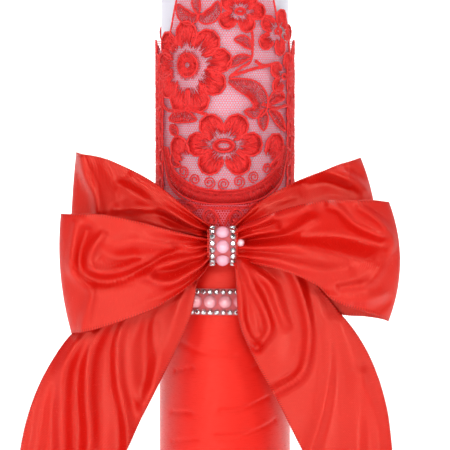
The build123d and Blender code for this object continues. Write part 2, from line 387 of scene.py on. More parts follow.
# ---------------------------------------------------------------- shader maths
class Sock:
    """One socket of a material's nodes. Arithmetic on it adds Math nodes."""

    def __init__(self, shader: "Shader", socket: Any) -> None:
        """Keeps the socket and the shader that it belongs to."""
        self.shader = shader
        self.socket = socket

    def maths(self, operation: str, *values: Any) -> "Sock":
        """A Math node's result.

        Args:
            operation: the node's operation.
            values: its inputs in order, as sockets or numbers.

        Returns:
            The node's output.
        """
        return self.shader.node("ShaderNodeMath", {"operation": operation}, dict(enumerate(values)))

    def __add__(self, other: Any) -> "Sock":
        """self + other."""
        return self.maths("ADD", self, other)

    __radd__ = __add__

    def __sub__(self, other: Any) -> "Sock":
        """self - other."""
        return self.maths("SUBTRACT", self, other)

    def __rsub__(self, other: Any) -> "Sock":
        """other - self."""
        return self.maths("SUBTRACT", other, self)

    def __mul__(self, other: Any) -> "Sock":
        """self * other."""
        return self.maths("MULTIPLY", self, other)

    __rmul__ = __mul__

    def __pow__(self, other: Any) -> "Sock":
        """self to the power of other."""
        return self.maths("POWER", self, other)

    def __gt__(self, other: Any) -> "Sock":
        """1 where self is over other, else 0."""
        return self.maths("GREATER_THAN", self, other)

    def __abs__(self) -> "Sock":
        """self without its sign."""
        return self.maths("ABSOLUTE", self)

    def wave(self, pitch: float) -> "Sock":
        """A sine wave of this, from 0 to 1, once every pitch."""
        return self.maths("SINE", self * (TURN / pitch)) * 0.5 + 0.5


class Shader:
    """A material being put together, with helpers for the nodes that the finishes share."""

    def __init__(self, name: str) -> None:
        """Makes an empty material.

        Args:
            name: the material's name.
        """
        self.material = bpy.data.materials.new(name)
        self.material.use_nodes = True
        self.tree = self.material.node_tree
        self.tree.nodes.clear()

    def node(
        self,
        kind: str,
        settings: dict[str, Any] | None = None,
        inputs: dict[Any, Any] | None = None,
        out: int | str = 0,
    ) -> Sock:
        """Adds a node of any kind.

        Args:
            kind: the node's type.
            settings: its properties, set before its inputs.
            inputs: values or sockets, by the input's name or number.
            out: the name or number of the output to give back.

        Returns:
            That output.
        """
        made = self.tree.nodes.new(kind)
        for key, value in (settings or {}).items():
            setattr(made, key, value)
        for key, value in (inputs or {}).items():
            if isinstance(value, Sock):
                self.tree.links.new(value.socket, made.inputs[key])
            else:
                made.inputs[key].default_value = value
        return Sock(self, made.outputs[out])

    def place(self) -> Sock:
        """The place on the object, in metres."""
        return self.node("ShaderNodeTexCoord", out="Object")

    def cloth(self) -> tuple[Sock, Sock]:
        """The two coordinates of the piece's own map, in millimetres."""
        both = {0: self.node("ShaderNodeUVMap", {"uv_map": "cloth"})}
        return (
            self.node("ShaderNodeSeparateXYZ", inputs=both, out="X"),
            self.node("ShaderNodeSeparateXYZ", inputs=both, out="Y"),
        )

    def along_only(self, along: Sock, across: Sock | float = 0.0) -> Sock:
        """A place for noise that is drawn out: how far along, and how far across."""
        return self.node("ShaderNodeCombineXYZ", inputs={0: across, 1: along})

    def noise(self, place: Sock, scale: float, detail: float) -> Sock:
        """Noise from 0 to 1 at a place."""
        return self.node("ShaderNodeTexNoise", inputs={"Vector": place, "Scale": scale, "Detail": detail})

    def mix(self, factor: Any, first: Any, second: Any) -> Sock:
        """A colour between two."""
        pick = [v if isinstance(v, Sock) else (*v, 1.0) for v in (first, second)]
        return self.node(
            "ShaderNodeMix", {"data_type": "RGBA"}, {0: factor, 6: pick[0], 7: pick[1]}, out=2
        )

    def bump(self, height: Sock, depth: float) -> Sock:
        """A normal bent by a height of some depth in metres."""
        return self.node("ShaderNodeBump", inputs={"Height": height, "Distance": depth})

    def finish(self, colour: Sock, roughness: Any, **others: Any) -> bpy.types.Material:
        """Ends the material with a Principled shader.

        Args:
            colour: the base colour.
            roughness: a number or socket.
            others: further inputs by name, with _ for a space.

        Returns:
            The material.
        """
        inputs = {key.replace("_", " "): value for key, value in others.items()}
        inputs |= {"Base Color": colour, "Roughness": roughness}
        shaded = self.node("ShaderNodeBsdfPrincipled", inputs=inputs)
        end = self.tree.nodes.new("ShaderNodeOutputMaterial")
        self.tree.links.new(shaded.socket, end.inputs["Surface"])
        return self.material


# ---------------------------------------------------------------- finishes
@dataclass(frozen=True)
class Satin:
    """Woven satin: a fine slanting twill over a sheen that is uneven from thread to thread.

    Pitches and widths are in millimetres along the cloth's own map, and the depth is in metres.
    """

    name: str
    colour: Colour
    shade: Colour
    roughness: float
    twill: float = 0.62
    slope: float = 0.55
    weft: float = 0.31
    weft_slope: float = -0.2
    thread_scale: Point2 = (0.25, 3.0)
    depth: float = 0.00007
    width: float = 50.0
    selvedge: float = 0.0
    picot: float = 1.25
    gloss: float = 1.0
    sheen_tint: tuple[float, float, float, float] = (1.0, 0.36, 0.27, 1.0)

    def make(self) -> bpy.types.Material:
        """The material. The twill is a sine wave across a slanting line on the cloth's own map.

        Within the selvedge of either edge, painted light and shade also go up and down with the picots, in
        darker and lighter bands.

        Returns:
            The material.
        """
        s = Shader(self.name)
        across, along = s.cloth()
        line = (along + self.slope * across).wave(self.twill)
        weft = (across + self.weft_slope * along).wave(self.weft)
        threads = s.noise(s.along_only(along * self.thread_scale[1], across * self.thread_scale[0]), 1.0, 2)
        slow = s.noise(s.place(), 60, 2)
        tone = line * 0.5 + threads * 0.45 + slow * 0.25
        if self.selvedge:
            # painted light and shade of the picot loops: darker and lighter bands along each edge
            near_edge = abs(across - self.width / 2) > self.width / 2 - self.selvedge
            tone = tone - near_edge * (2.0 * along.wave(self.picot) - 0.5)
        colour = s.mix(tone, self.shade, self.colour)
        rough = self.roughness + 0.1 * threads - 0.05 * line
        return s.finish(
            colour,
            rough,
            Normal=s.bump(line * 0.8 + weft * 0.2, self.depth),
            Specular_IOR_Level=self.gloss,
            Specular_Tint=self.sheen_tint,
        )


@dataclass(frozen=True)
class Thread:
    """Rayon embroidery thread: twisted cord with strands that catch the light one by one."""

    name: str
    colour: Colour
    shade: Colour
    strand: float = 0.55
    roughness: float = 0.45
    depth: float = 0.00006

    def make(self) -> bpy.types.Material:
        """The material. Strands are a slanting sine wave round and along the cord's own map.

        Returns:
            The material.
        """
        s = Shader(self.name)
        around, along = s.cloth()
        twist = (along + around * self.strand).wave(self.strand)
        patch = s.noise(s.place(), 800, 3)
        each = s.noise(s.node("ShaderNodeCombineXYZ", inputs={0: along * 0.7}), 1.0, 1)
        tone = twist * 0.3 + patch * 0.6 + 1.1 * each - 0.5
        colour = s.mix(tone, self.shade, self.colour)
        return s.finish(colour, self.roughness + 0.15 * patch, Normal=s.bump(twist, self.depth))


@dataclass(frozen=True)
class Wax:
    """Pressed paraffin wax, pale and slightly cloudy, with faint flow lines and pits."""

    name: str = "pillar wax"
    colour: Colour = (0.73, 0.71, 0.79)
    shade: Colour = (0.62, 0.60, 0.68)
    depth: float = 0.00012

    def make(self) -> bpy.types.Material:
        """The material: cloudy colour from slow noise, and a fine orange-peel bump.

        Returns:
            The material.
        """
        s = Shader(self.name)
        place = s.place()
        clouds = s.noise(place, 35, 4)
        peel = s.noise(place, 700, 3)
        pits = s.node("ShaderNodeTexVoronoi", inputs={"Vector": place, "Scale": 900})
        colour = s.mix(clouds, self.shade, self.colour)
        return s.finish(
            colour,
            0.38 + 0.14 * peel,
            Normal=s.bump(peel * 0.7 + pits * 0.3, self.depth),
            Subsurface_Weight=0.25,
            Subsurface_Radius=(0.012, 0.01, 0.011),
            Subsurface_Scale=0.4,
        )


@dataclass(frozen=True)
class Pearl:
    """Imitation pearl: a lustrous lacquer over a bead, with soft cloudy bands of colour and a painted shade
    at its rim.
    """

    name: str
    colour: Colour
    rim_shade_and_tint: Colour
    depth: float = 0.00001

    def make(self) -> bpy.types.Material:
        """The material: a darker pink comes in at the rim as painted shade, and in clouds as the bead's own
        tone, under a glossy coat.

        Returns:
            The material.
        """
        s = Shader(self.name)
        place = s.place()
        cloud = s.noise(place, 260, 2)
        grain = s.noise(place, 2600, 2)
        # painted shade: the darker pink is mixed in at the rim, where the surface turns from the view; the
        # clouds are the bead's own tone
        painted_rim_shade = s.node("ShaderNodeLayerWeight", inputs={"Blend": 0.35}, out="Facing")
        colour = s.mix(painted_rim_shade * 0.9 + cloud * 0.8 - 0.22, self.colour, self.rim_shade_and_tint)
        return s.finish(
            colour,
            0.18 + 0.08 * grain,
            Normal=s.bump(grain, self.depth),
            Metallic=0.1,
            Coat_Weight=1.0,
            Coat_Roughness=0.03,
            Sheen_Weight=0.2,
        )


@dataclass(frozen=True)
class Metal:
    """Bright plated metal with fine marks from handling."""

    name: str
    bright: Colour
    dull: Colour
    roughness: float
    depth: float = 0.00002

    def make(self) -> bpy.types.Material:
        """The material: two greys and a roughness mixed by fine noise.

        Returns:
            The material.
        """
        s = Shader(self.name)
        place = s.place()
        marks = s.noise(place, 1400, 4)
        spots = s.noise(place, 300, 2)
        colour = s.mix(marks * 0.6 + spots * 0.4, self.dull, self.bright)
        rough = self.roughness + 0.12 * marks
        return s.finish(colour, rough, Normal=s.bump(marks, self.depth), Metallic=1.0)


@dataclass(frozen=True)
class Crystal:
    """Foil-backed cut glass: mirror facets, with dark and bright patches painted on them as painted
    reflections.
    """

    name: str = "crystal"
    bright: Colour = (0.96, 0.96, 0.98)
    dark_reflection: Colour = (0.10, 0.10, 0.11)
    reflection_patch_scale: float = 1150.0

    def make(self) -> bpy.types.Material:
        """The material: facet-sized patches of painted bright and dark reflection under clear coat.

        Returns:
            The material.
        """
        s = Shader(self.name)
        # painted reflection: random patches of near black and near white stand in for what the facets
        # mirror
        cells = {"Vector": s.place(), "Scale": self.reflection_patch_scale}
        patch = s.node("ShaderNodeTexVoronoi", {"feature": "F1"}, cells, out="Color")
        value = s.node("ShaderNodeSeparateColor", inputs={0: patch})
        colour = s.mix(value ** 0.6, self.dark_reflection, self.bright)
        return s.finish(colour, 0.03 + 0.05 * value, Metallic=0.92, Coat_Weight=1.0, Coat_Roughness=0.02)


@dataclass(frozen=True)
class Plain:
    """A fine-grained plain finish, for film, cotton and backing net."""

    name: str
    colour: Colour
    shade: Colour
    grain: float
    depth: float
    roughness: float

    def make(self) -> bpy.types.Material:
        """The material: grain from noise stretched along the height, with a little bump.

        Returns:
            The material.
        """
        s = Shader(self.name)
        stretched = s.node("ShaderNodeMapping", inputs={"Vector": s.place(), "Scale": (1.0, 1.0, 0.3)})
        grain = s.noise(stretched, self.grain, 4)
        slow = s.noise(s.place(), 50, 2)
        colour = s.mix(grain * 0.7 + slow * 0.3, self.shade, self.colour)
        return s.finish(colour, self.roughness + 0.2 * grain, Normal=s.bump(grain, self.depth))


class Finish(Enum):
    """Every finish, under the name of the record's material slot."""

    wax = Wax()
    wick_cotton = Plain("wick cotton", (0.85, 0.80, 0.70), (0.55, 0.50, 0.42), 1800, 0.0001, 0.8)
    sustainer_tin = Metal("sustainer tin", (0.72, 0.72, 0.70), (0.45, 0.45, 0.44), 0.32)
    tape = Plain("clear tape", (0.82, 0.80, 0.72), (0.70, 0.67, 0.58), 500, 0.00002, 0.3)
    sleeve_satin = Satin(
        "sleeve satin", (0.78, 0.007, 0.003), (0.60, 0.004, 0.002), 0.28, twill=0.5, gloss=0.8
    )
    ribbon_satin = Satin("ribbon satin", (0.66, 0.007, 0.003), (0.42, 0.003, 0.002), 0.21, selvedge=1.2)
    lace_net = Plain("lace net", (0.88, 0.16, 0.22), (0.74, 0.09, 0.14), 3000, 0.00003, 0.6)
    lace_thread = Thread("lace thread", (0.96, 0.022, 0.020), (0.54, 0.005, 0.006))
    trim_backing = Plain("trim backing", (0.66, 0.14, 0.15), (0.45, 0.03, 0.04), 2400, 0.0001, 0.5)
    tying_thread = Thread("tying thread", (0.78, 0.03, 0.03), (0.45, 0.01, 0.01))
    band_pearl = Pearl("band pearl", (0.90, 0.48, 0.53), (0.66, 0.06, 0.10))
    knot_pearl = Pearl("knot pearl", (0.87, 0.50, 0.60), (0.66, 0.12, 0.22))
    pin_pearl = Pearl("pin pearl", (0.88, 0.62, 0.66), (0.74, 0.28, 0.34))
    crystal = Crystal()
    cup_silver = Metal("cup silver", (0.86, 0.84, 0.84), (0.40, 0.38, 0.38), 0.16)
    pin_steel = Metal("pin steel", (0.75, 0.76, 0.78), (0.50, 0.50, 0.52), 0.2)


class Finishes:
    """Makes each finish's material once and puts it on pieces."""

    def __init__(self) -> None:
        """Starts with nothing made."""
        self.made: dict[Finish, bpy.types.Material] = {}

    def material(self, finish: Finish) -> bpy.types.Material:
        """The material of a finish, made the first time that it is asked for."""
        if finish not in self.made:
            self.made[finish] = finish.value.make()
        return self.made[finish]

    def keep(self, *nodes: str) -> None:
        """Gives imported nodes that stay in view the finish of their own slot.

        Args:
            nodes: their names.
        """
        for name in nodes:
            node = frame["nodes"][name]
            finish = Finish[node.data.materials[0].name.split(".")[0]]
            for place in node.material_slots:
                place.material = self.material(finish)
            LOG.info("%s keeps its packed shape, in %s", name, finish.value.name)

    def dress(
        self, piece: bpy.types.Object, body: Body, finish: Finish, replaced: Sequence[str] = ()
    ) -> bpy.types.Object:
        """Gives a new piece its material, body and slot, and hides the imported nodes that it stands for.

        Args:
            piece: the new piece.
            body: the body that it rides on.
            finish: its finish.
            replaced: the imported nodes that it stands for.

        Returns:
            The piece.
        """
        piece.data.materials.append(self.material(finish))
        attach(piece, body.value)
        if replaced:
            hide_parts(*replaced)
        LOG.info("%s: %d faces, on %s", piece.name, len(piece.data.polygons), body.value)
        return piece


def thicken(piece: bpy.types.Object, thickness: float) -> None:
    """Gives a sheet its wall, half to each side.

    Args:
        piece: the sheet.
        thickness: the wall, in millimetres.
    """
    wall = piece.modifiers.new("wall", "SOLIDIFY")
    wall.thickness = thickness * MM
    wall.offset = 0.0


# ---------------------------------------------------------------- the pillar and its satin
@dataclass
class Pillar:
    """The wax pillar with its wick, the sustainer in its foot and the tape behind the satin."""

    strands: int = 3
    strand_radius: float = 0.52
    strand_offset: float = 0.46
    braid_pitch: float = 5.2
    step: float = 0.8
    tip: float = 0.1
    taper_length: float = 1.2
    thinnest: float = 0.45

    def build(self, finishes: Finishes) -> None:
        """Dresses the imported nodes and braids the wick."""
        finishes.keep("pillar_wax", "wick_sustainer", "sleeve_tape")
        finishes.dress(self.wick(), Body.CANDLE, Finish.wick_cotton, ["wick"])

    def wick(self) -> bpy.types.Object:
        """Three strands that weave from side to side.

        Each strand's middle is a figure of eight lying on its side: the sine of the angle across,
        and the sine of twice the angle from front to back, as the height goes up.

        Returns:
            The piece.
        """
        low, high = corners("wick")
        height = np.arange(low[2], high[2] - self.strand_radius / 2, self.step)
        height[-1] = high[2] - self.tip
        turn = TURN * height / self.braid_pitch + TURN * np.arange(self.strands)[:, None] / self.strands
        lines = np.stack(
            [
                self.strand_offset * np.sin(turn),
                0.6 * self.strand_offset * np.sin(2 * turn),
                np.broadcast_to(height, turn.shape),
            ],
            -1,
        )
        taper = np.clip((high[2] - height) / self.taper_length, self.thinnest, 1)[None, :, None]
        strands = tubes(lines, np.array([0, -1.0, 0]), taper * self.strand_radius, 8)
        return Pile.of("braided_wick", *strands)


@dataclass
class Sleeve:
    """Satin wrapped once round the pillar, creased where it was drawn tight and lapped behind."""

    frame: Frame
    around: int = 320
    rows: int = 170
    wall: float = 0.75
    set_in: float = 0.35
    crease_depth: float = 1.9
    lap_width: float = 10.0
    lap_half: float = 4.5
    lap_rise: float = 0.42
    lap_wall: float = 0.2
    hem: float = 0.4

    @property
    def flat_height(self) -> float:
        """The height that the satin is cut to, in metres."""
        return (self.frame.sleeve_top - self.frame.sleeve_low) * MM

    def creases(self) -> tuple[Fold, ...]:
        """Shallow creases in the front, from the pillar's axis and foot, across and up."""
        return (
            Fold(((-25, 61), (-15, 63.5)), -0.5, 1.1, sharp=True, lean=3),
            Fold(((-27, 43), (-15.5, 43.5)), -0.5, 1.1, sharp=True, lean=3),
            Fold(((-2, 45), (8, 46), (20, 50)), -0.5, 1.0, sharp=True, lean=3),
            Fold(((-27, 30), (-12.5, 32.5)), -0.3, 1.0, sharp=True, lean=3),
            Fold(((-3.5, 34), (10, 35), (25, 39.5)), -0.5, 1.0, sharp=True, lean=3),
            Fold(((-22, 74), (-10, 70), (4, 69)), -0.2, 1.2),
            Fold(((-24, 16), (0, 12), (22, 18)), -0.28, 1.0, sharp=True, lean=3),
            Fold(((-26, 24), (-6, 22)), -0.22, 1.0, sharp=True, lean=3),
        )

    def radius_at(self, angle: Array, height: Array) -> Array:
        """The satin's outer radius.

        A steady radius, plus slow waves round and up it, plus the creases at the front, and the
        same creases upside down at the back.

        Args:
            angle: angles from the front.
            height: levels, the same shape.

        Returns:
            Radii, the same shape.
        """
        base = self.frame.sleeve_radius - self.set_in
        slow = 0.06 * np.sin(3 * angle + height / 31) + 0.05 * np.sin(5 * angle - height / 17)
        flat = np.stack([angle * base, height], -1).reshape(-1, 2)
        half = np.pi * base
        behind = np.stack([np.mod(flat[:, 0] + half / 2 + 11, 2 * half) - half, 137 - flat[:, 1]], -1)
        folds = self.crease_depth * (relief(self.creases(), flat) + relief(self.creases(), behind))
        return base + slow + folds.reshape(angle.shape)

    def build(self, finishes: Finishes) -> None:
        """The satin as one closed shell, and the folded edge that shows where it is lapped.

        Args:
            finishes: where its finish comes from.
        """
        angle = (np.arange(self.around) / self.around - 0.5)[:, None] * TURN
        height = np.linspace(self.frame.sleeve_low, self.frame.sleeve_top, self.rows)[None, :]
        angle_grid, height_grid = np.broadcast_arrays(angle, height)
        outer = self.radius_at(angle_grid, height_grid)
        inner = np.full((self.around, 2), self.frame.sleeve_radius - self.set_in - self.wall)
        radius = np.concatenate([outer, inner], 1)
        level = np.concatenate([height_grid, height_grid[:, [-1, 0]]], 1)
        points = round_pillar(radius, angle, level)
        texture = np.stack([np.broadcast_to(angle, level.shape) * self.frame.sleeve_radius, level], -1)
        faces = [grid_faces(self.around, self.rows + 2, True, True)]
        made = Pile.of("satin_wrap", points, faces, texture)
        finishes.dress(made, Body.CANDLE, Finish.sleeve_satin, ["satin_sleeve"])
        self.lap(finishes)

    def lap(self, finishes: Finishes) -> None:
        """The folded edge of the satin down the back.

        It is a strip whose middle line is the sum of two slow sine waves up the back, and whose
        rise is 1 less the fourth power of the share across it.

        Args:
            finishes: where its finish comes from.
        """
        height = np.linspace(self.frame.sleeve_low + self.hem, self.frame.sleeve_top - self.hem, 120)
        across = np.linspace(-1, 1, 13)
        wave = 0.5 * np.sin(height / 9) + 0.3 * np.sin(height / 3.7 + 1)
        base = self.frame.sleeve_radius - 0.3
        angle = np.pi + (self.lap_half * across[None, :] + wave[:, None]) / base
        radius = base + 0.02 + self.lap_rise * (1 - np.abs(across) ** 4)[None, :]
        level = np.broadcast_to(height[:, None], angle.shape)
        points = round_pillar(radius, angle, level)
        inside = round_pillar(base - self.lap_wall, angle, level)
        ring = np.concatenate([points, inside[:, ::-1]], 1)
        count = ring.shape[1]
        foot = np.arange(count)[None, :]
        faces = [grid_faces(len(height), count, False, True)[:, ::-1]]
        faces += [foot, (len(height) - 1) * count + foot[:, ::-1]]
        texture = np.stack([angle * base, level], -1)
        made = Pile.of("satin_lap", ring, faces, np.concatenate([texture, texture[:, ::-1]], 1))
        finishes.dress(made, Body.CANDLE, Finish.sleeve_satin)
        self.lap_width * MM


# ---------------------------------------------------------------- the corded lace
class Part(Enum):
    """The three groups of embroidery, each a piece of its own."""

    FLOWERS = "lace_flowers"
    LEAVES = "lace_leaves"
    BORDER = "lace_border"


def circle(centre: Point2, radius: float, count: int = 40, squash: float = 1.0) -> Array:
    """Points round a circle, or an upright ellipse where squash isn't 1."""
    angle = np.arange(count) * TURN / count
    return np.stack(
        [centre[0] + radius * np.cos(angle), centre[1] + radius * squash * np.sin(angle)], -1
    )


@dataclass
class Stitches:
    """Cords and satin stitches of one group, as lines on the lace laid out flat.

    Flat places are the arc to the right of the front and the height above the knot.
    """

    cords: list[tuple[Array, float, float]] = field(default_factory=list)
    starts: list[Array] = field(default_factory=list)
    ends: list[Array] = field(default_factory=list)

    def cord(self, line: Array, radius: float = 0.36, height: float = 0.42) -> None:
        """A raised cord along a line."""
        self.cords.append((line, radius, height))

    def comb(self, starts: Array, ends: Array) -> None:
        """Satin stitches, each from a start to an end."""
        self.starts.append(starts)
        self.ends.append(ends)


@dataclass
class Lace:
    """Net wrapped over the top of the satin, with corded flowers, leaves, scrolls and a border.

    The net's upper edge is low at the sides, and climbs over the shoulders to the front and back.
    """

    frame: Frame
    finishes: Finishes
    cell: float = 1.15
    net_thread: float = 0.28
    stitch_pitch: float = 0.56
    stitch_radius: float = 0.21
    cord_step: float = 0.55
    side_drop: float = 24.0
    climb: float = 22.0
    front_half: float = 29.0
    shoulder: float = 9.0
    scallop: float = 1.3
    scallop_reach: float = 5.2
    hem_half: float = 32.0
    seed: int = 7
    groups: dict[Part, Stitches] = field(default_factory=lambda: {p: Stitches() for p in Part})

    def __post_init__(self) -> None:
        """Sets the seeded random numbers and the surface's radius."""
        self.random = np.random.default_rng(self.seed)
        self.base = self.frame.net_radius
        self.half = np.pi * self.base

    def wrap(self, flat: Array, height: Array | float) -> Array:
        """Rolls flat places round the pillar.

        The arc over the net's radius is the angle from the front, the radius is the net's plus the
        height, and the level is the knot's plus the second coordinate.

        Args:
            flat: places, any shape by 2.
            height: the height over the net at each.

        Returns:
            Points, the same shape by 3.
        """
        return round_pillar(self.base + height, flat[..., 0] / self.base, self.frame.knot[2] + flat[..., 1])

    def outward(self, flat: Array) -> Array:
        """The direction away from the pillar's axis at flat places."""
        angle = flat[..., 0] / self.base
        return round_pillar(1.0, angle, 0 * angle)

    def top_edge(self, arc: Array) -> Array:
        """The net's upper edge: the low side, plus an eased climb, plus humps of a sine's size.

        Args:
            arc: the arc to the right of the front.

        Returns:
            Heights above the knot.
        """
        near = np.abs(np.mod(arc + self.half / 2, self.half) - self.half / 2)
        low = self.frame.lace_top - self.frame.knot[2] - self.side_drop
        climb = self.climb * ease((self.front_half - near) / self.shoulder)
        return low + climb + self.scallop * np.abs(np.sin(arc / self.scallop_reach))

    def net(self) -> None:
        """Hexagonal net of flat threads.

        Cell centres are rows of points a cell apart, each second row half a cell along. From each
        corner below a centre three threads run, one down and two up and out, and each thread is a
        thin four-cornered strip. Threads above the upper edge are left out.
        """
        columns = int(round(2 * self.half / self.cell))
        step = 2 * self.half / columns
        side = step / np.sqrt(3)
        tall = self.frame.lace_top - self.frame.lace_low
        rows = int(tall / (1.5 * side))
        i, j = np.meshgrid(np.arange(rows), np.arange(columns), indexing="ij")
        foot = self.frame.lace_low - self.frame.knot[2]
        middle = np.stack([(j + 0.5 * (i % 2)) * step - self.half, foot + side + 1.5 * side * i], -1)
        middle += 0.035 * self.random.standard_normal(middle.shape)
        middle = middle.reshape(-1, 2)
        spokes = np.array([[0, -1.0], [np.sqrt(3) / 2, 0.5], [-np.sqrt(3) / 2, 0.5]]) * side
        start = np.repeat(middle, 3, axis=0)
        end = start + np.tile(spokes, (len(middle), 1))
        inside = (end[:, 1] > foot) & (np.maximum(start[:, 1], end[:, 1]) < self.top_edge(start[:, 0]))
        start, end = start[inside], end[inside]
        across = np.stack([-(end - start)[:, 1], (end - start)[:, 0]], -1)
        across *= self.net_thread / 2 / np.linalg.norm(across, axis=1, keepdims=True)
        flat = np.stack([start + across, end + across, end - across, start - across], 1)
        faces = [np.arange(len(start) * 4).reshape(-1, 4)[:, ::-1]]
        made = Pile.of("hexagonal_net", self.wrap(flat, 0.0), faces, flat, smooth=False)
        self.finishes.dress(made, Body.CANDLE, Finish.lace_net, ["lace_net"])
        float(np.linalg.norm(end - start, axis=1).sum()) * self.net_thread * MM * MM

    def petal(self, part: Part, centre: Point2, radius: float, towards: Point2) -> None:
        """A corded petal filled with stitches that run in from its cord.

        The cord is a circle drawn out towards the flower's middle, with a ripple of nine waves, and
        open at the root. Two layers of stitches start on the cord, one about as far as the petal's
        root and one about as far as its middle.

        Args:
            part: the group that it belongs to.
            centre: its middle.
            radius: its radius.
            towards: the flower's middle.
        """
        around = 72
        centre_at = np.array(centre, float)
        root = unit(np.array(towards, float) - centre_at)
        ring = circle((0, 0), radius, around)
        inward = ring @ root
        ring = ring + np.outer(np.where(inward > 0, inward * 0.42, 0), root)
        ripple = 1 + 0.035 * np.sin(np.arange(around) * TURN / around * 9 + self.random.uniform(0, TURN))
        line = centre_at + ring * ripple[:, None]
        start = int(np.argmax(ring @ root))
        open_part = np.roll(line, -start - 9, axis=0)[:-17]
        self.groups[part].cord(smooth_path(open_part[::3], 60), 0.46, 0.6)
        count = int(TURN * radius / self.stitch_pitch)
        starts = evenly(open_part, count)
        side = np.array([-root[1], root[0]])
        beside = ((starts - centre_at) @ side)[:, None]
        for low, high in ((0.5, 1.25), (-0.1, 0.45)):
            reach = self.random.uniform(low, high, count)[:, None] * radius
            self.groups[part].comb(starts, centre_at + root * reach + side * beside * 0.5)

    def flower(
        self,
        centre: Point2,
        petals: Sequence[Point2],
        radius: float,
        eye: float,
        round_eye: float = 0.62,
    ) -> None:
        """Petals about a ringed eye, with short stitches round it.

        Args:
            centre: the flower's middle.
            petals: the petals' middles.
            radius: the petals' radius.
            eye: the radius of the ring in the middle.
            round_eye: the ring's height over its width.
        """
        for spot in petals:
            self.petal(Part.FLOWERS, spot, radius, centre)
        stitches = self.groups[Part.FLOWERS]
        ring = closed(circle(centre, eye, 48, round_eye))
        stitches.cord(smooth_path(ring[::3], 50), 0.42, 0.42)
        inner = closed(circle(centre, eye * 0.62, 48, 0.5))
        stitches.cord(smooth_path(inner[::3], 40), 0.3, 0.35)
        count = int(TURN * eye / self.stitch_pitch)
        starts = evenly(ring, count + 1)[:-1]
        middle = np.array(centre, float)
        out = self.random.uniform(1.2, 1.38, count)[:, None]
        stitches.comb(middle + (starts - middle) * 0.66, middle + (starts - middle) * out)

    def leaf(self, part: Part, spine: Sequence[Point2], width: float, gap: float = 0.0) -> None:
        """A corded leaf along a curved spine, filled with slanting stitches from each edge.

        Its half width is half the width times the sine of half a turn along it, to the power 0.7.

        Args:
            part: the group that it belongs to.
            spine: the points of its spine.
            width: its width at the middle.
            gap: how much of the middle is left open, as a share of the width.
        """
        count = max(12, int(length_of(smooth_path(spine, 40)) / self.stitch_pitch))
        line = smooth_path(spine, count)
        ahead = unit(np.gradient(line, axis=0))
        side = np.stack([-ahead[:, 1], ahead[:, 0]], -1)
        half = (width / 2 * np.sin(np.pi * np.linspace(0.02, 0.98, count)) ** 0.7)[:, None]
        stitches = self.groups[part]
        for sign in (-1, 1):
            edge = line + sign * half * side
            rough = self.random.uniform(gap - 0.25, gap + 0.05, count)[:, None]
            stitches.comb(edge, line + ahead * 0.6 + sign * half * side * rough)
        outline = np.vstack([line + half * side, (line - half * side)[::-1], (line + half * side)[:1]])
        stitches.cord(smooth_path(outline[:: max(1, count // 14)], 2 * count), 0.42, 0.56)

    def curl(self, part: Part, centre: Point2, radius: float, turns: float, start: float) -> None:
        """A scroll: a cord whose distance from the centre falls steadily as it turns inwards.

        Args:
            part: the group that it belongs to.
            centre: the middle of the scroll.
            radius: its outer radius.
            turns: how far it goes round, less than 0 for clockwise.
            start: the angle that it starts at, in turns.
        """
        t = np.linspace(0, 1, max(24, int(40 * abs(turns))))
        angle = TURN * (start + turns * t)
        reach = radius * (1 - 0.78 * t)
        line = np.stack([centre[0] + reach * np.cos(angle), centre[1] + reach * np.sin(angle)], -1)
        self.groups[part].cord(line, 0.32, 0.4)

    def band(self, outer: Array, inner: Array) -> None:
        """The border: close satin stitch between two cords.

        Args:
            outer: the lower cord's line.
            inner: the upper cord's line.
        """
        stitches = self.groups[Part.BORDER]
        stitches.cord(outer, 0.42, 0.46)
        stitches.cord(inner, 0.4, 0.46)
        count = int(length_of(outer) / (0.8 * self.stitch_pitch))
        low = evenly(outer, count)
        high = evenly(inner, count)
        split = self.random.uniform(0.42, 0.58, count)[:, None]
        stitches.comb(low, low + (high - low) * (split + 0.42))
        stitches.comb(high, high + (low - high) * split)

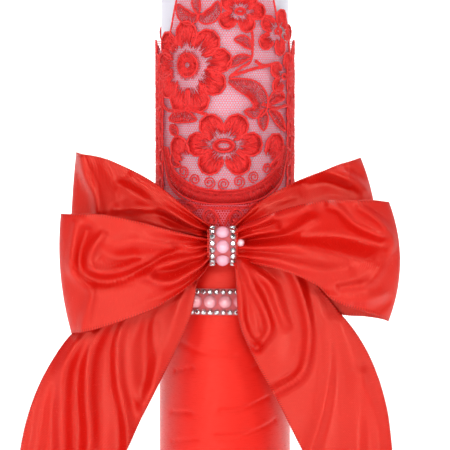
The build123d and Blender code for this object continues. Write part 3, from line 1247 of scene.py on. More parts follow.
    def draw(self) -> None:
        """Draws the front half's motifs. The back half is the same, half a turn round."""
        self.flower(
            (-17, 77),
            ((-28.5, 86), (-17.5, 90.5), (-7.5, 87), (-2.5, 79), (-5, 69.5), (-12, 62),
             (-21, 62), (-28.5, 68), (-31, 77)),
            5.2,
            5.0,
            1.0,
        )
        disc = circle((-17, 77), 4.6, 60)
        self.groups[Part.FLOWERS].comb(disc, disc * 0.25 + np.array([-17, 77]) * 0.75)
        self.flower(
            (-0.5, 42.5), ((-6, 51), (5.0, 51), (11.5, 43), (6, 35), (-6.5, 35), (-12, 43)), 4.9, 4.4
        )
        self.flower((6.5, 100), ((1, 96), (9.5, 94.5), (14.5, 100), (10.5, 105), (1.8, 104)), 3.4, 2.2)
        self.flower((26, 91.5), ((19.5, 95), (28, 97.5), (33.5, 91), (27, 84.5), (18.5, 87)), 3.3, 2.2)
        self.flower((30.5, 72), ((24.5, 75), (25.5, 68), (33, 79), (36.5, 71)), 3.2, 2.0)
        leaves = (
            (((-22, 103), (-19.5, 99), (-15, 97), (-11.5, 98.5)), 5.0),
            (((-12, 98), (-8.5, 97), (-4.5, 99.5), (-3, 104)), 5.0),
            (((-13, 108), (-12.5, 103), (-11.5, 99)), 3.2),
            (((4, 88), (8, 87.5), (11.5, 84)), 3.6),
            (((0.8, 76), (6, 79.5), (11, 80.5)), 3.2),
            (((1.5, 70.5), (7, 68.5), (12.5, 66), (16, 61), (13.5, 56.8), (8.5, 57.2)), 6.6),
            (((20, 60.5), (25, 63.5), (30.5, 63)), 4.4),
            (((17.8, 58), (17.2, 53.5), (17.4, 49)), 4.2),
            (((20.5, 57.5), (26, 53.5), (31, 48.5)), 4.0),
            (((-27.5, 53.5), (-19.5, 55), (-12.6, 53.6)), 4.6),
            (((-27, 50.5), (-24, 48.5), (-22.5, 46.5)), 3.6),
            (((-33, 60), (-34.5, 68), (-33.5, 76)), 3.0),
            (((-34, 44), (-35.5, 52), (-33, 58)), 3.4),
            (((36.5, 46), (36, 54), (37.5, 62)), 3.2),
        )
        for spine, width in leaves:
            self.leaf(Part.LEAVES, spine, 1.2 * width, 0.05)
        stems = (
            ((1.5, 71.5), (6.5, 75.5), (11, 78.5), (12, 85.5), (11.5, 91.5)),
            ((13, 78.5), (17, 76.5), (24.5, 77.5)),
            ((2.5, 72), (12, 75), (20.5, 76.5)),
            ((16.5, 60), (24, 58), (33, 59), (38, 55)),
            ((-34, 60), (-28, 57), (-16, 57.5), (-8, 55.5)),
            ((34, 60), (36.5, 68), (36, 80), (33, 92), (30, 100)),
        )
        for stem in stems:
            line = smooth_path(stem, 60)
            self.groups[Part.LEAVES].cord(line, 0.45, 0.45)
            self.groups[Part.LEAVES].cord(line + [0.35, 0.75], 0.36, 0.42)
        self.scrolls()
        self.border()
        self.side_column()

    def scrolls(self) -> None:
        """The commas beside the lower flower, each a petal, a leaf and a curl, and the row of curls.

        The row stands over the border, and its curls turn left and right in turn.
        """
        for centre, radius, root in (((-21.5, 41.5), 4.7, (-17, 36)), ((24.3, 42), 5.3, (20, 36))):
            self.petal(Part.LEAVES, centre, radius, root)
        self.leaf(Part.LEAVES, ((-25.5, 39), (-24.5, 35), (-20.5, 33.6)), 3.4)
        self.leaf(Part.LEAVES, ((28, 39), (25.5, 35), (21, 33.2)), 3.8)
        self.curl(Part.LEAVES, (24.0, 42), 3.0, -1.3, 0.1)
        self.curl(Part.LEAVES, (-21.6, 41.5), 2.7, 1.3, 0.4)
        for i, spot in enumerate(
            ((-19, 31), (-13.2, 27.8), (-6.8, 26.6), (-0.4, 26), (5.9, 27), (12.7, 29), (19.2, 32.4))
        ):
            turns = -1.9 if i % 2 else 1.9
            self.curl(Part.BORDER, spot, 2.7, turns, 0.75)

    def border(self) -> None:
        """The arched satin-stitch border, and the two hearts and slanting cords under it."""
        outer = smooth_path(
            ((-33.5, 42), (-31.5, 35), (-27, 26), (-16, 19.3), (-0.5, 17.3), (15.5, 19.3), (27, 26.5),
             (32, 35.5), (34, 42)),
            150,
        )
        inner = smooth_path(
            ((-28.5, 41), (-26.8, 36), (-23, 30.5), (-13, 25), (-0.5, 23.2), (12, 25), (22, 31),
             (27, 37), (28.8, 42)),
            150,
        )
        self.band(outer, inner)
        stitches = self.groups[Part.BORDER]
        stitches.cord(outer - [0, 1.5], 0.34, 0.4)
        arc = np.linspace(-1, 1, 90)
        stitches.cord(np.stack([36 * arc, 15.2 + 4.5 * arc**2 + 0.25 * np.sin(arc * 60)], -1), 0.36, 0.42)
        for side in (-1, 1):
            heart = smooth_path(
                ((side * 0.6 - 0.8, 8), (side * 2.5 - 0.8, 12.6), (side * 5.8 - 0.8, 15.3),
                 (side * 8.6 - 0.8, 12.8), (side * 7.4 - 0.8, 9.2), (side * 4.6 - 0.8, 7.0)),
                70,
            )
            stitches.cord(heart, 0.5, 0.75)
            middle = ((side * 3.2 - 0.8, 9), (side * 5.6 - 0.8, 12), (side * 5.8 - 0.8, 9))
            self.leaf(Part.BORDER, middle, 4.2)
            slant = smooth_path(((side * 20 - 1, 17.4), (side * 13 - 1, 12), (side * 7.5 - 1, 5)), 50)
            stitches.cord(slant, 0.42, 0.6)
            stitches.cord(slant + [side * 1.6, 0.2], 0.32, 0.4)
            self.leaf(Part.BORDER, ((side * 11.5 - 1, 15), (side * 16.5 - 1, 17)), 3.2)
        zigzag = np.linspace(-1, 1, 240)
        saw = 0.5 + 0.5 * np.sin(zigzag * 150)
        flat = np.stack([24 * zigzag, 3.2 + 1.2 * saw + 11 * np.abs(zigzag) ** 1.3], -1)
        stitches.cord(flat, 0.3, 0.36)

    def side_column(self) -> None:
        """The side, between the front and back halves, and the cord along the net's hem.

        Flowers and leaves stand one over another, between two swaying cords, with rows of leaves
        at both sides and up the middle.
        """
        middle = self.half / 2

        def leaf(places: Sequence[Point2], width: float) -> None:
            """A leaf through places from the side's middle line."""
            self.leaf(Part.LEAVES, [(middle + across, level) for across, level in places], width)

        for level, size in ((30, 3.6), (54, 3.9), (78, 3.6)):
            spots = circle((middle, level), 1.75 * size, 5)
            self.flower((middle, level), [tuple(spot) for spot in spots], size, 0.55 * size)
        for level in np.arange(7, 82, 8.5):
            tilt = 1 if int(level) % 2 else -1
            leaf(((-7, level - 2 * tilt), (-1, level), (6, level + 3 * tilt)), 4.6)
            leaf(((-9.5, level - 3), (-7.5, level), (-8.5, level + 4)), 3.6)
            leaf(((8.5, level - 4), (7.0, level), (9, level + 3)), 3.6)
        height = np.linspace(3, 82, 120)
        for offset, phase in ((-8.6, 0.0), (8.4, 1.6)):
            sway = middle + offset + 2.4 * np.sin(height / 3.3 + phase)
            line = np.stack([sway, height], -1)
            self.groups[Part.LEAVES].cord(line, 0.45, 0.45)
        for level in np.arange(6, 80, 6.2):
            for side in (-1, 1):
                leaf(((12.6 * side, level - 3.2), (11.4 * side, level), (12.8 * side, level + 3.2)), 5.2)
        for level in np.arange(6, 84, 7.4):
            tilt = 1 if int(level) % 2 else -1
            leaf(((-tilt, level - 3.9), (tilt, level), (0, level + 3.6)), 6.4)
        arc = np.linspace(-self.hem_half, self.hem_half, 260)
        hem = np.stack([arc, self.top_edge(arc) - 0.4], -1)
        self.groups[Part.LEAVES].cord(hem, 0.42, 0.42)

    def build_group(self, part: Part) -> bpy.types.Object:
        """One group of stitches as one mesh, on the front and again on the back.

        A cord is a tube of six sides whose section, slightly oval, turns as it goes, as twisted
        cord does. A stitch is a tube of three sides, at three points, that rises in its middle.

        Args:
            part: the group.

        Returns:
            The piece.
        """
        sides = 6
        stitches = self.groups[part]
        pile = Pile()
        for turn in (0.0, self.half):
            for line, radius, height in stitches.cords:
                count = max(6, int(length_of(line) / self.cord_step))
                flat = evenly(line, count) + [turn, 0]
                centre = self.wrap(flat, height)
                twist = np.arange(sides) * TURN / sides - 2.2 * np.arange(count)[:, None]
                thick = radius * (1 + 0.12 * np.cos(2 * twist))
                points, faces = tubes(centre[None], self.outward(flat)[None], thick[None], sides)
                around = np.broadcast_to(np.arange(sides) * 0.4, (count, sides))
                along = np.broadcast_to(np.arange(count)[:, None] * self.cord_step, (count, sides))
                pile.add(points, faces, np.stack([around, along], -1))
            starts = np.concatenate(stitches.starts) + [turn, 0]
            ends = np.concatenate(stitches.ends) + [turn, 0]
            t = np.array([0, 0.5, 1.0])[None, :, None]
            flat = starts[:, None] * (1 - t) + ends[:, None] * t
            lift = np.array([0.3, 0.46, 0.2])[None, :] + self.random.uniform(0, 0.3, (len(starts), 1))
            centre = self.wrap(flat, lift)
            thick = self.stitch_radius * np.array([1.0, 1.25, 0.7])[None, :, None]
            points, faces = tubes(centre, self.outward(flat), thick, 3)
            along = np.repeat(self.random.uniform(0, 9, (len(starts), 1)) + [[0, 1.0, 2.0]], 3, axis=1)
            pile.add(points, faces, np.stack([np.tile([0, 0.3, 0.6], (len(starts), 3)), along], -1))
        return pile.piece(part.value.replace("lace_", "corded_"))

    def build(self) -> None:
        """The net and the three groups of embroidery."""
        self.net()
        self.draw()
        for part in Part:
            self.finishes.dress(
                self.build_group(part), Body.CANDLE, Finish.lace_thread, [part.value]
            )


# ---------------------------------------------------------------- the pearl and stone trim
def seats_mesh(
    shape: Array, faces: Sequence[Array], seats: Array, axes: Array
) -> tuple[Array, list[Array]]:
    """Copies of one small shape, one on each seat.

    Args:
        shape: its points, n by 3: across, up and outwards.
        faces: its faces.
        seats: where each copy stands, m by 3.
        axes: the across, up and outward directions of each seat, m by 3 by 3.

    Returns:
        The points and faces of all copies.
    """
    points = seats[:, None] + np.einsum("nk,mkj->mnj", shape, axes)
    first = np.arange(len(seats))[:, None, None] * len(shape)
    return points.reshape(-1, 3), [(f[None] + first).reshape(-1, f.shape[1]) for f in faces]


@dataclass
class Trim:
    """Cut stones in clawed cups, in rows beside the pearls round the sleeve and the knot."""

    frame: Frame
    finishes: Finishes
    row_rise: float = 4.4
    stone_radius: float = 1.15
    cup_radius: float = 1.3
    band_count: int = 67
    knot_count: int = 8
    knot_radius: float = 7.5
    seat_gap: float = 0.18
    crown: float = 1.45
    facets: int = 8
    cup_sides: int = 16

    def stone(self) -> tuple[Array, list[Array]]:
        """A round brilliant: rings of eight points for its table, crown, girdle and foot.

        A ring's points are its reach times the cosine and sine of the angle, at its level. The
        crown's ring is turned by half a facet, so that the facets are triangles, as they are cut.

        Returns:
            Its points, across, up and outwards, and its faces.
        """
        rings = ((0.52, self.crown, 0.0), (0.84, 1.2, 0.5), (1.0, 0.95, 0.0), (0.9, 0.6, 0.0))
        points = []
        for reach, level, turn in rings:
            angle = (np.arange(self.facets) + turn) * TURN / self.facets
            reach *= self.stone_radius
            points.append(np.stack([reach * np.cos(angle), reach * np.sin(angle), 0 * angle + level], -1))
        near = np.arange(self.facets)
        table, crown, girdle, foot = (near + ring * self.facets for ring in range(len(rings)))
        triangles = np.concatenate(
            [
                np.stack([table, crown, np.roll(table, -1)], -1),
                np.stack([table, np.roll(crown, 1), crown], -1),
                np.stack([crown, girdle, np.roll(girdle, -1)], -1),
                np.stack([np.roll(crown, 1), girdle, crown], -1),
            ]
        )
        walls = np.stack([girdle, foot, np.roll(foot, -1), np.roll(girdle, -1)], -1)
        caps = np.stack([table, foot[::-1]])
        return np.concatenate(points), [triangles, walls, caps]

    def cup(self) -> tuple[Array, list[Array]]:
        """A pressed cup: a low ring of sixteen sides with four claws bent over the stone's edge.

        The ring's radius and level go round a small section. At every fourth side the section's
        top is pulled up and in, which makes a claw.

        Returns:
            Its points, across, up and outwards, and its faces.
        """
        side = np.arange(self.cup_sides)
        angle = side * TURN / self.cup_sides
        claw = (side % 4 == 0).astype(float)
        section = (
            (self.cup_radius, 0.05 + 0 * claw),
            (self.cup_radius, 0.72 + 0.2 * claw),
            (self.cup_radius - 0.1 - 0.3 * claw, 0.85 + 0.55 * claw),
            (self.cup_radius - 0.2 - 0.34 * claw, 0.75 + 0.5 * claw),
            (self.cup_radius - 0.2, 0.05 + 0 * claw),
        )
        points = np.stack(
            [np.stack([r * np.cos(angle), r * np.sin(angle), level], -1) for r, level in section], 1
        )
        return points.reshape(-1, 3), [grid_faces(self.cup_sides, len(section), True, True)[:, ::-1]]

    def band_seats(self, rise: float) -> tuple[Array, Array]:
        """Seats evenly round the sleeve's strip.

        Args:
            rise: how far above its middle.

        Returns:
            Where each stands, and its across, up and outward directions.
        """
        angle = np.arange(self.band_count) * TURN / self.band_count
        out = np.stack([np.cos(angle), np.sin(angle), 0 * angle], -1)
        across = np.stack([-np.sin(angle), np.cos(angle), 0 * angle], -1)
        up = np.broadcast_to([0, 0, 1.0], out.shape)
        seats = out * self.frame.band_radius + [0, 0, self.frame.band_height + rise]
        return seats, np.stack([across, up, out], 1)

    def knot_seats(self, beside: float) -> tuple[Array, Array]:
        """Seats a stone's pitch apart over the knot's round front.

        Args:
            beside: how far to the right of its middle.

        Returns:
            Where each stands, and its across, up and outward directions.
        """
        pitch = 2 * self.cup_radius + self.seat_gap
        tilt = (np.arange(self.knot_count) - (self.knot_count - 1) / 2) * pitch / self.knot_radius
        out = np.stack([0 * tilt, -np.cos(tilt), np.sin(tilt)], -1)
        across = np.broadcast_to([1.0, 0, 0], out.shape)
        up = np.cross(out, across)
        knot = self.frame.knot
        front = knot[1] - self.frame.knot_half[1]
        seats = out * self.knot_radius + [knot[0] + beside, front + self.knot_radius, knot[2]]
        return seats, np.stack([across, up, out], 1)

    def build(self) -> None:
        """Stones and cups for every row, and the finish of what stays."""
        self.finishes.keep("band_strip", "band_pearls", "knot_strip", "knot_pearls")
        rows = (
            ("band_upper", Body.CANDLE, self.band_seats(self.row_rise)),
            ("band_lower", Body.CANDLE, self.band_seats(-self.row_rise)),
            ("knot_left", Body.BOW, self.knot_seats(-self.row_rise)),
            ("knot_right", Body.BOW, self.knot_seats(self.row_rise)),
        )
        kinds = (
            ("stones", "cut_stones", self.stone(), Finish.crystal),
            ("cups", "claw_cups", self.cup(), Finish.cup_silver),
        )
        for row, body, (seats, axes) in rows:
            for packed, kind, shape, finish in kinds:
                made = Pile.of(f"{row}_{kind}", *seats_mesh(*shape, seats, axes), smooth=False)
                self.finishes.dress(made, body, finish, [f"{row}_{packed}"])


# ---------------------------------------------------------------- the bow
@dataclass(frozen=True)
class Cloth:
    """How every length of the bow's ribbon is made."""

    width: float = 50.0
    thickness: float = 0.32
    picot_pitch: float = 1.05
    picot_radius: float = 0.3

    def picots(self, edges: Sequence[Array], name: str) -> bpy.types.Object:
        """The woven loops along a ribbon's edges: eight-sided beads, set a pitch apart.

        Args:
            edges: lines of points along the edges.
            name: the new piece's name.

        Returns:
            The piece.
        """
        tips = np.array([[1, 0, 0], [0, 1, 0], [-1, 0, 0], [0, -1, 0], [0, 0, 1], [0, 0, -1.0]])
        i = np.arange(4)
        after = (i + 1) % 4
        faces = np.concatenate(
            [np.stack([i, after, 0 * i + 4], -1), np.stack([after, i, 0 * i + 5], -1)]
        )
        pile = Pile()
        for edge in edges:
            line = evenly(edge, int(length_of(edge) / self.picot_pitch))
            ahead = unit(np.gradient(line, axis=0))
            side = unit(np.cross(ahead, [0, 1.0, 0.2]))
            up = np.cross(side, ahead)
            axes = np.stack([1.25 * ahead, side, up], 1) * self.picot_radius
            pile.add(*seats_mesh(tips, [faces], line, axes))
        return pile.piece(name)


def ribbon_map(points: Array, share: Array, width: float) -> Array:
    """Each point's place on the ribbon: across it, and along it from the knot.

    Args:
        points: the ribbon's points, rows by columns by 3.
        share: each column's share of the width.
        width: the ribbon's width.

    Returns:
        Rows by columns by 2. Along is the sum of the mean steps from row to row.
    """
    steps = np.linalg.norm(np.diff(points, axis=0), axis=2).mean(axis=1)
    along = np.concatenate([[0], np.cumsum(steps)])[:, None]
    return np.stack(np.broadcast_arrays(share * width, along), -1)


@dataclass(frozen=True)
class Loop:
    """One loop of the bow: a front ply out to a bevelled tip, and a back ply home to the knot.

    Edges are in the front view, from the knot's middle, and run from the knot to the tip. The turn
    is how far the tip's bend reaches, at shares of the ribbon's width. Depths are the levels of -Y,
    so more is nearer the front.
    """

    name: str
    replaced: str
    lower: tuple[Point2, ...]
    upper: tuple[Point2, ...]
    back_lower: tuple[Point2, ...]
    back_upper: tuple[Point2, ...]
    turn: tuple[Point2, ...]
    bulge: float
    root: float
    back_root: float
    tip: float
    thick: float
    back_hold: float
    folds: tuple[Fold, ...]
    pleats: int = 4
    pleat_depth: float = 1.9
    pleat_reach: float = 22.0
    back_pleats: float = 0.45
    phase: float = 0.6
    bevel: float = 0.6
    swell: float = 0.42
    columns: int = 84
    front_rows: int = 110
    tip_rows: int = 15
    back_rows: int = 60

    @property
    def faces_left(self) -> bool:
        """Whether it goes off to the left, where its grid already faces outwards."""
        return self.lower[-1][0] < 0

    def plane_place(self, low: Array, high: Array, share: Array, t: Array) -> Array:
        """Places in the front view at a share t from the knot to the tip, for every column.

        They lie on the straight line between the edges, pushed out towards the tip by a bow that
        is nothing at both edges and grows with the square of t.

        Args:
            low: the lower edge, densely.
            high: the upper edge, densely.
            share: each column's place between the edges.
            t: rows by columns, from 0 at the knot to 1 at the tip.

        Returns:
            Rows by columns by 2.
        """
        at = np.linspace(0, 1, len(low))
        first = np.stack([np.interp(t, at, low[:, k]) for k in range(2)], -1)
        last = np.stack([np.interp(t, at, high[:, k]) for k in range(2)], -1)
        place = first * (1 - share[None, :, None]) + last * share[None, :, None]
        out = np.sign(low[-1, 0]) * self.bulge * 4 * share * (1 - share)
        place[..., 0] += out[None, :] * t**2
        return place

    def surface(self, knot: Array, width: float) -> tuple[Array, Array]:
        """The loop's points and their places on the ribbon.

        Seen from above the front ply runs from its root towards the front and levels out, then a
        bend takes it round the tip: a mix of an ellipse and a hollow curve, by the bevel. Its half
        width is the turn, which changes across the ribbon and so makes the long crease at the tip.
        The back ply goes home. Near the knot, pleats are a cosine across the ribbon that fades with
        the distance from the knot.

        Args:
            knot: the knot's middle.
            width: the ribbon's width.

        Returns:
            Rows by columns by 3, and rows by columns by 2.
        """
        share = np.linspace(0, 1, self.columns)
        edges = [smooth_path(e, 220) for e in (self.lower, self.upper, self.back_lower, self.back_upper)]
        places, turns = np.array(self.turn).T
        fine = np.interp(np.linspace(0, 1, 400), places, turns)
        kernel = np.hanning(55) / np.hanning(55).sum()
        fine = np.convolve(np.pad(fine, 27, mode="edge"), kernel, mode="valid")
        turn = np.interp(share, np.linspace(0, 1, 400), fine)
        reach = sum(length_of(smooth_path(edge, 50)) for edge in (self.lower, self.upper)) / 2
        stop = 1 - turn / reach
        front = np.linspace(0, 1, self.front_rows)[:, None] ** 0.85 * stop
        angle = np.linspace(0, np.pi / 2, self.tip_rows)[1:, None]
        round_front = 1 - (turn / reach) * (1 - np.sin(angle))
        t_front = np.concatenate([front, round_front])
        half = self.thick + self.swell * (turn - turn.mean())
        lift = 1 - (1 - np.clip(front / stop, 0, 1)) ** 2.2
        depth_front = np.concatenate(
            [
                self.root + (self.tip + half - self.root) * lift,
                self.tip + half * ((1 - self.bevel) * np.cos(angle) + self.bevel * (1 - np.sin(angle))),
            ]
        )
        flat = self.plane_place(edges[0], edges[1], share, t_front)
        fade = np.concatenate([np.ones_like(front), np.cos(angle) + 0 * turn]) * ease(t_front * 9)
        depth_front = depth_front + relief(self.folds, flat.reshape(-1, 2)).reshape(t_front.shape) * fade
        t_round = (1 - (turn / reach) * (1 - np.sin(angle)))[::-1][1:]
        back = np.linspace(1, 0, self.back_rows)[1:, None] * stop
        t_back = np.concatenate([t_round, back])
        homeward = 1 - np.clip(back / stop, 0, 1)
        level = self.tip - half
        depth_back = np.concatenate(
            [
                self.tip - half * np.cos(angle[::-1][1:]),
                level + (self.back_root - level) * ease(homeward / self.back_hold),
            ]
        )
        flat_back = self.plane_place(edges[2], edges[3], share, t_back)
        flat_all = np.concatenate([flat, flat_back])
        depth = np.concatenate([depth_front, depth_back])
        from_knot = np.abs(flat_all[..., 0]) - np.abs(edges[0][0, 0])
        pleat = np.cos(TURN * self.pleats * share[None, :] + self.phase)
        shallow = np.repeat([1.0, self.back_pleats], [len(flat), len(flat_back)])[:, None]
        depth = depth + self.pleat_depth * shallow * pleat * np.exp(-((from_knot / self.pleat_reach) ** 2))
        points = np.stack([knot[0] + flat_all[..., 0], -depth, knot[2] + flat_all[..., 1]], -1)
        return points, ribbon_map(points, share, width)


@dataclass(frozen=True)
class Tail:
    """One hanging end of the bow, between an inner and an outer edge, from the knot down."""

    name: str
    replaced: str
    inner: tuple[Point2, ...]
    outer: tuple[Point2, ...]
    depth: float
    root_depth: float
    folds: tuple[Fold, ...]
    settle: float = 0.42
    fold_gain: float = 1.2
    pleats: int = 4
    pleat_depth: float = 1.2
    pleat_reach: float = 26.0
    columns: int = 84
    rows: int = 170

    @property
    def faces_left(self) -> bool:
        """Whether it hangs to the left, where its grid already faces the front."""
        return self.outer[-1][0] < 0

    def surface(self, knot: Array, width: float) -> tuple[Array, Array]:
        """The tail's points and their places on the ribbon.

        Rows are straight lines between the two edges. The depth eases from the root's to the hanging
        cloth's, and folds stand forward of that, with pleats that fade away from the knot.

        Args:
            knot: the knot's middle.
            width: the ribbon's width.

        Returns:
            Rows by columns by 3, and rows by columns by 2.
        """
        share = np.linspace(0, 1, self.columns)
        inner, outer = (smooth_path(edge, self.rows)[:, None] for edge in (self.inner, self.outer))
        flat = inner * (1 - share)[None, :, None] + outer * share[None, :, None]
        t = np.linspace(0, 1, self.rows)[:, None]
        depth = self.root_depth + (self.depth - self.root_depth) * ease(t / self.settle)
        folds = relief(self.folds, flat.reshape(-1, 2)).reshape(flat.shape[:2])
        depth = depth + self.fold_gain * folds * ease(t * 14)
        from_knot = np.linalg.norm(flat, axis=2)
        pleat = 0.5 + 0.5 * np.cos(TURN * self.pleats * share[None, :])
        depth = depth + self.pleat_depth * pleat * np.exp(-((from_knot / self.pleat_reach) ** 2))
        points = np.stack([knot[0] + flat[..., 0], -depth, knot[2] + flat[..., 1]], -1)
        return points, ribbon_map(points, share, width)


FRONT_LEFT = Loop(
    name="front_left_loop",
    replaced="bow_front_left_loop",
    lower=((-4.6, -6.0), (-11, -14.0), (-27.8, -25.2), (-45, -31.8), (-55, -34.8), (-64.4, -36.8)),
    upper=((-4.6, 2.6), (-19.2, 6.7), (-36.3, 11.4), (-51.2, 14.4), (-60, 14.4), (-68.6, 13.9)),
    back_lower=((-4.6, -5.0), (-20, -15), (-40, -24), (-64.4, -36.8)),
    back_upper=((-4.6, 2.4), (-19.2, 5.5), (-40, 9), (-68.6, 13.9)),
    turn=((0, 8), (0.25, 11.5), (0.4, 14), (0.5, 8.5), (0.58, 6), (0.75, 8.5), (1, 12.5)),
    bulge=2.4,
    root=37.6,
    back_root=36.6,
    tip=42.65,
    thick=8.4,
    back_hold=0.35,
    folds=(
        Fold(((-5, 0.8), (-19.2, -1.2), (-28, -6.2), (-41, -12.4), (-52, -14), (-59.5, -10.5),
              (-60.5, -3), (-57.5, 7)), -4.2, 2.8, (1, 0.8)),
        Fold(((-12, 3.5), (-28, 5.0), (-42, 1), (-49, -4)), 3.0, 6.5),
        Fold(((-50.5, 5.8), (-55.2, -0.8), (-56, -6.6), (-52.3, -9.6), (-44.4, -9.4), (-34, -6.4),
              (-22, -1)), 2.2, 1.9),
        Fold(((-50, -2), (-44, -3.5), (-38, -2.5)), -2.2, 3.2),
        Fold(((-61.6, 10.4), (-62.8, 2.5), (-64.2, -7.6), (-62.4, -11.6), (-57.4, -16),
              (-55.2, -19.5), (-58, -28.5), (-59.7, -35.8)), 1.6, 1.7),
        Fold(((-31, -10.2), (-21, -3.8), (-7.4, -1.2)), 2.6, 2.2),
        Fold(((-34, -11.8), (-27, -14.2), (-19.2, -14.4), (-10.8, -8)), 2.6, 2.2),
        Fold(((-27, -10), (-20, -9.2), (-12, -5.5)), -2.4, 2.2),
        Fold(((-50, -31), (-42, -22), (-30, -16)), -1.2, 6.0),
    ),
)

BACK_LEFT = Loop(
    name="back_left_loop",
    replaced="bow_back_left_loop",
    lower=((-4.6, -1), (-20, -4), (-40, -7), (-66, -9.5)),
    upper=((-4.6, 8), (-14.1, 14.8), (-27.8, 25.5), (-39.7, 32.3), (-52.5, 37.4), (-63.2, 39.2)),
    back_lower=((-4.6, -1), (-20, -4), (-40, -7), (-66, -9.5)),
    back_upper=((-4.6, 7.5), (-16, 15), (-30, 25), (-45, 33), (-63.2, 39.2)),
    turn=((0, 8), (0.4, 10), (0.55, 12), (0.75, 11), (0.9, 6), (1, 3.5)),
    bulge=0.6,
    root=33.2,
    back_root=32.4,
    tip=23.25,
    thick=8.0,
    back_hold=1.0,
    folds=(
        Fold(((-38, 28.5), (-28, 21), (-19, 14.5), (-9, 7)), 3.2, 3.0, (0.5, 1)),
        Fold(((-46, 15.5), (-33, 16), (-22.6, 13.5), (-10, 5)), 2.4, 2.2),
        Fold(((-44, 25), (-32, 18), (-20, 10)), -2.2, 2.6),
        Fold(((-61.5, 37), (-58.5, 29), (-54.5, 22), (-53, 15)), 2.8, 2.6),
        Fold(((-50, 35), (-46, 25), (-44, 16)), -2.4, 4.0),
    ),
    pleat_depth=2.0,
)

FRONT_RIGHT = Loop(
    name="front_right_loop",
    replaced="bow_front_right_loop",
    lower=((4.6, -6), (14, -7.5), (24, -9.5), (33, -12.5), (40.8, -16.4), (45, -20.6), (51, -24),
           (58, -26.2), (65.3, -28.7), (70.6, -31.7)),
    upper=((4.6, 6.5), (11.3, 10.4), (23.9, 15.6), (30.7, 17.9), (37.4, 19.4), (44.2, 20.2),
           (56, 20.4), (64, 20.2), (70.6, 19)),
    back_lower=((4.6, -6), (18, -16), (34, -25), (50.9, -29.8), (61, -30.6), (70.6, -31.7)),
    back_upper=((4.6, 6), (24, 12), (46, 17), (70.6, 19)),
    turn=((0, 11), (0.2, 13), (0.36, 17), (0.45, 15), (0.55, 8), (0.64, 4.5), (0.8, 7),
          (0.92, 13), (1, 15)),
    bulge=4.8,
    root=37.8,
    back_root=33.6,
    tip=42.65,
    thick=8.4,
    back_hold=0.4,
    folds=(
        Fold(((5, 2.2), (12.6, 2.5), (23.9, 4.8), (31, 7.5), (38, 12)), -4.2, 2.4, (1, 0.5)),
        Fold(((13, 8), (16, 10.5), (20.5, 13)), 2.2, 2.4),
        Fold(((23, 8.5), (21.5, 12), (22.5, 15.5)), -2.0, 1.8),
        Fold(((26, 10), (31, 13.5), (35.5, 17)), 3.4, 3.4),
        Fold(((38, 4), (50, 5), (60, 2), (66, 0.5)), -4.6, 6.5),
        Fold(((45, 18), (49.3, 16.1), (55, 10.4), (61, 7), (66.8, 4.8)), 3.0, 1.9),
        Fold(((57.8, 17.2), (66.2, 11.6), (71, 5.4), (72, 1.4), (70.4, -2), (67.9, -5.9),
              (64.5, -11.6), (60, -15), (50, -16.6)), 2.0, 1.7),
        Fold(((14, -3), (28, -7), (42, -9), (52, -8.8)), 1.6, 3.0),
        Fold(((30, -2), (45, -6), (58, -10)), -2.0, 4.0),
        Fold(((44, -20.5), (56, -21.5), (67, -20)), 1.6, 2.6),
        Fold(((56, -25), (64, -26), (70, -23)), -1.6, 2.4),
    ),
    phase=2.2,
)

BACK_RIGHT = Loop(
    name="back_right_loop",
    replaced="bow_back_right_loop",
    lower=((4.6, -2), (20, -5), (40, -8), (66, -10.5)),
    upper=((4.6, 8.6), (9.6, 13.1), (15.5, 18.1), (24, 23.2), (31.6, 27), (40.8, 30.8), (49.3, 34.2),
           (59.6, 36.9)),
    back_lower=((4.6, -2), (20, -5), (40, -8), (66, -10.5)),
    back_upper=((4.6, 8), (20, 20), (38, 28), (59.6, 36.9)),
    turn=((0, 8), (0.5, 10), (0.8, 9), (1, 5)),
    bulge=3.2,
    root=33.2,
    back_root=32.4,
    tip=23.25,
    thick=8.0,
    back_hold=1.0,
    folds=(
        Fold(((9, 7.5), (15, 12), (23, 17.5), (32, 21.5)), 3.2, 2.4, (1, 0.4)),
        Fold(((10, 12), (20, 19.5), (34, 26)), -1.6, 1.8),
        Fold(((34, 24), (44, 26), (54, 24)), -2.6, 4.0),
        Fold(((44, 32), (52, 28.5), (61, 24)), 2.6, 3.2),
        Fold(((52, 35), (58, 31), (63, 27)), -1.6, 2.4),
    ),
    pleat_depth=2.0,
    phase=1.4,
)

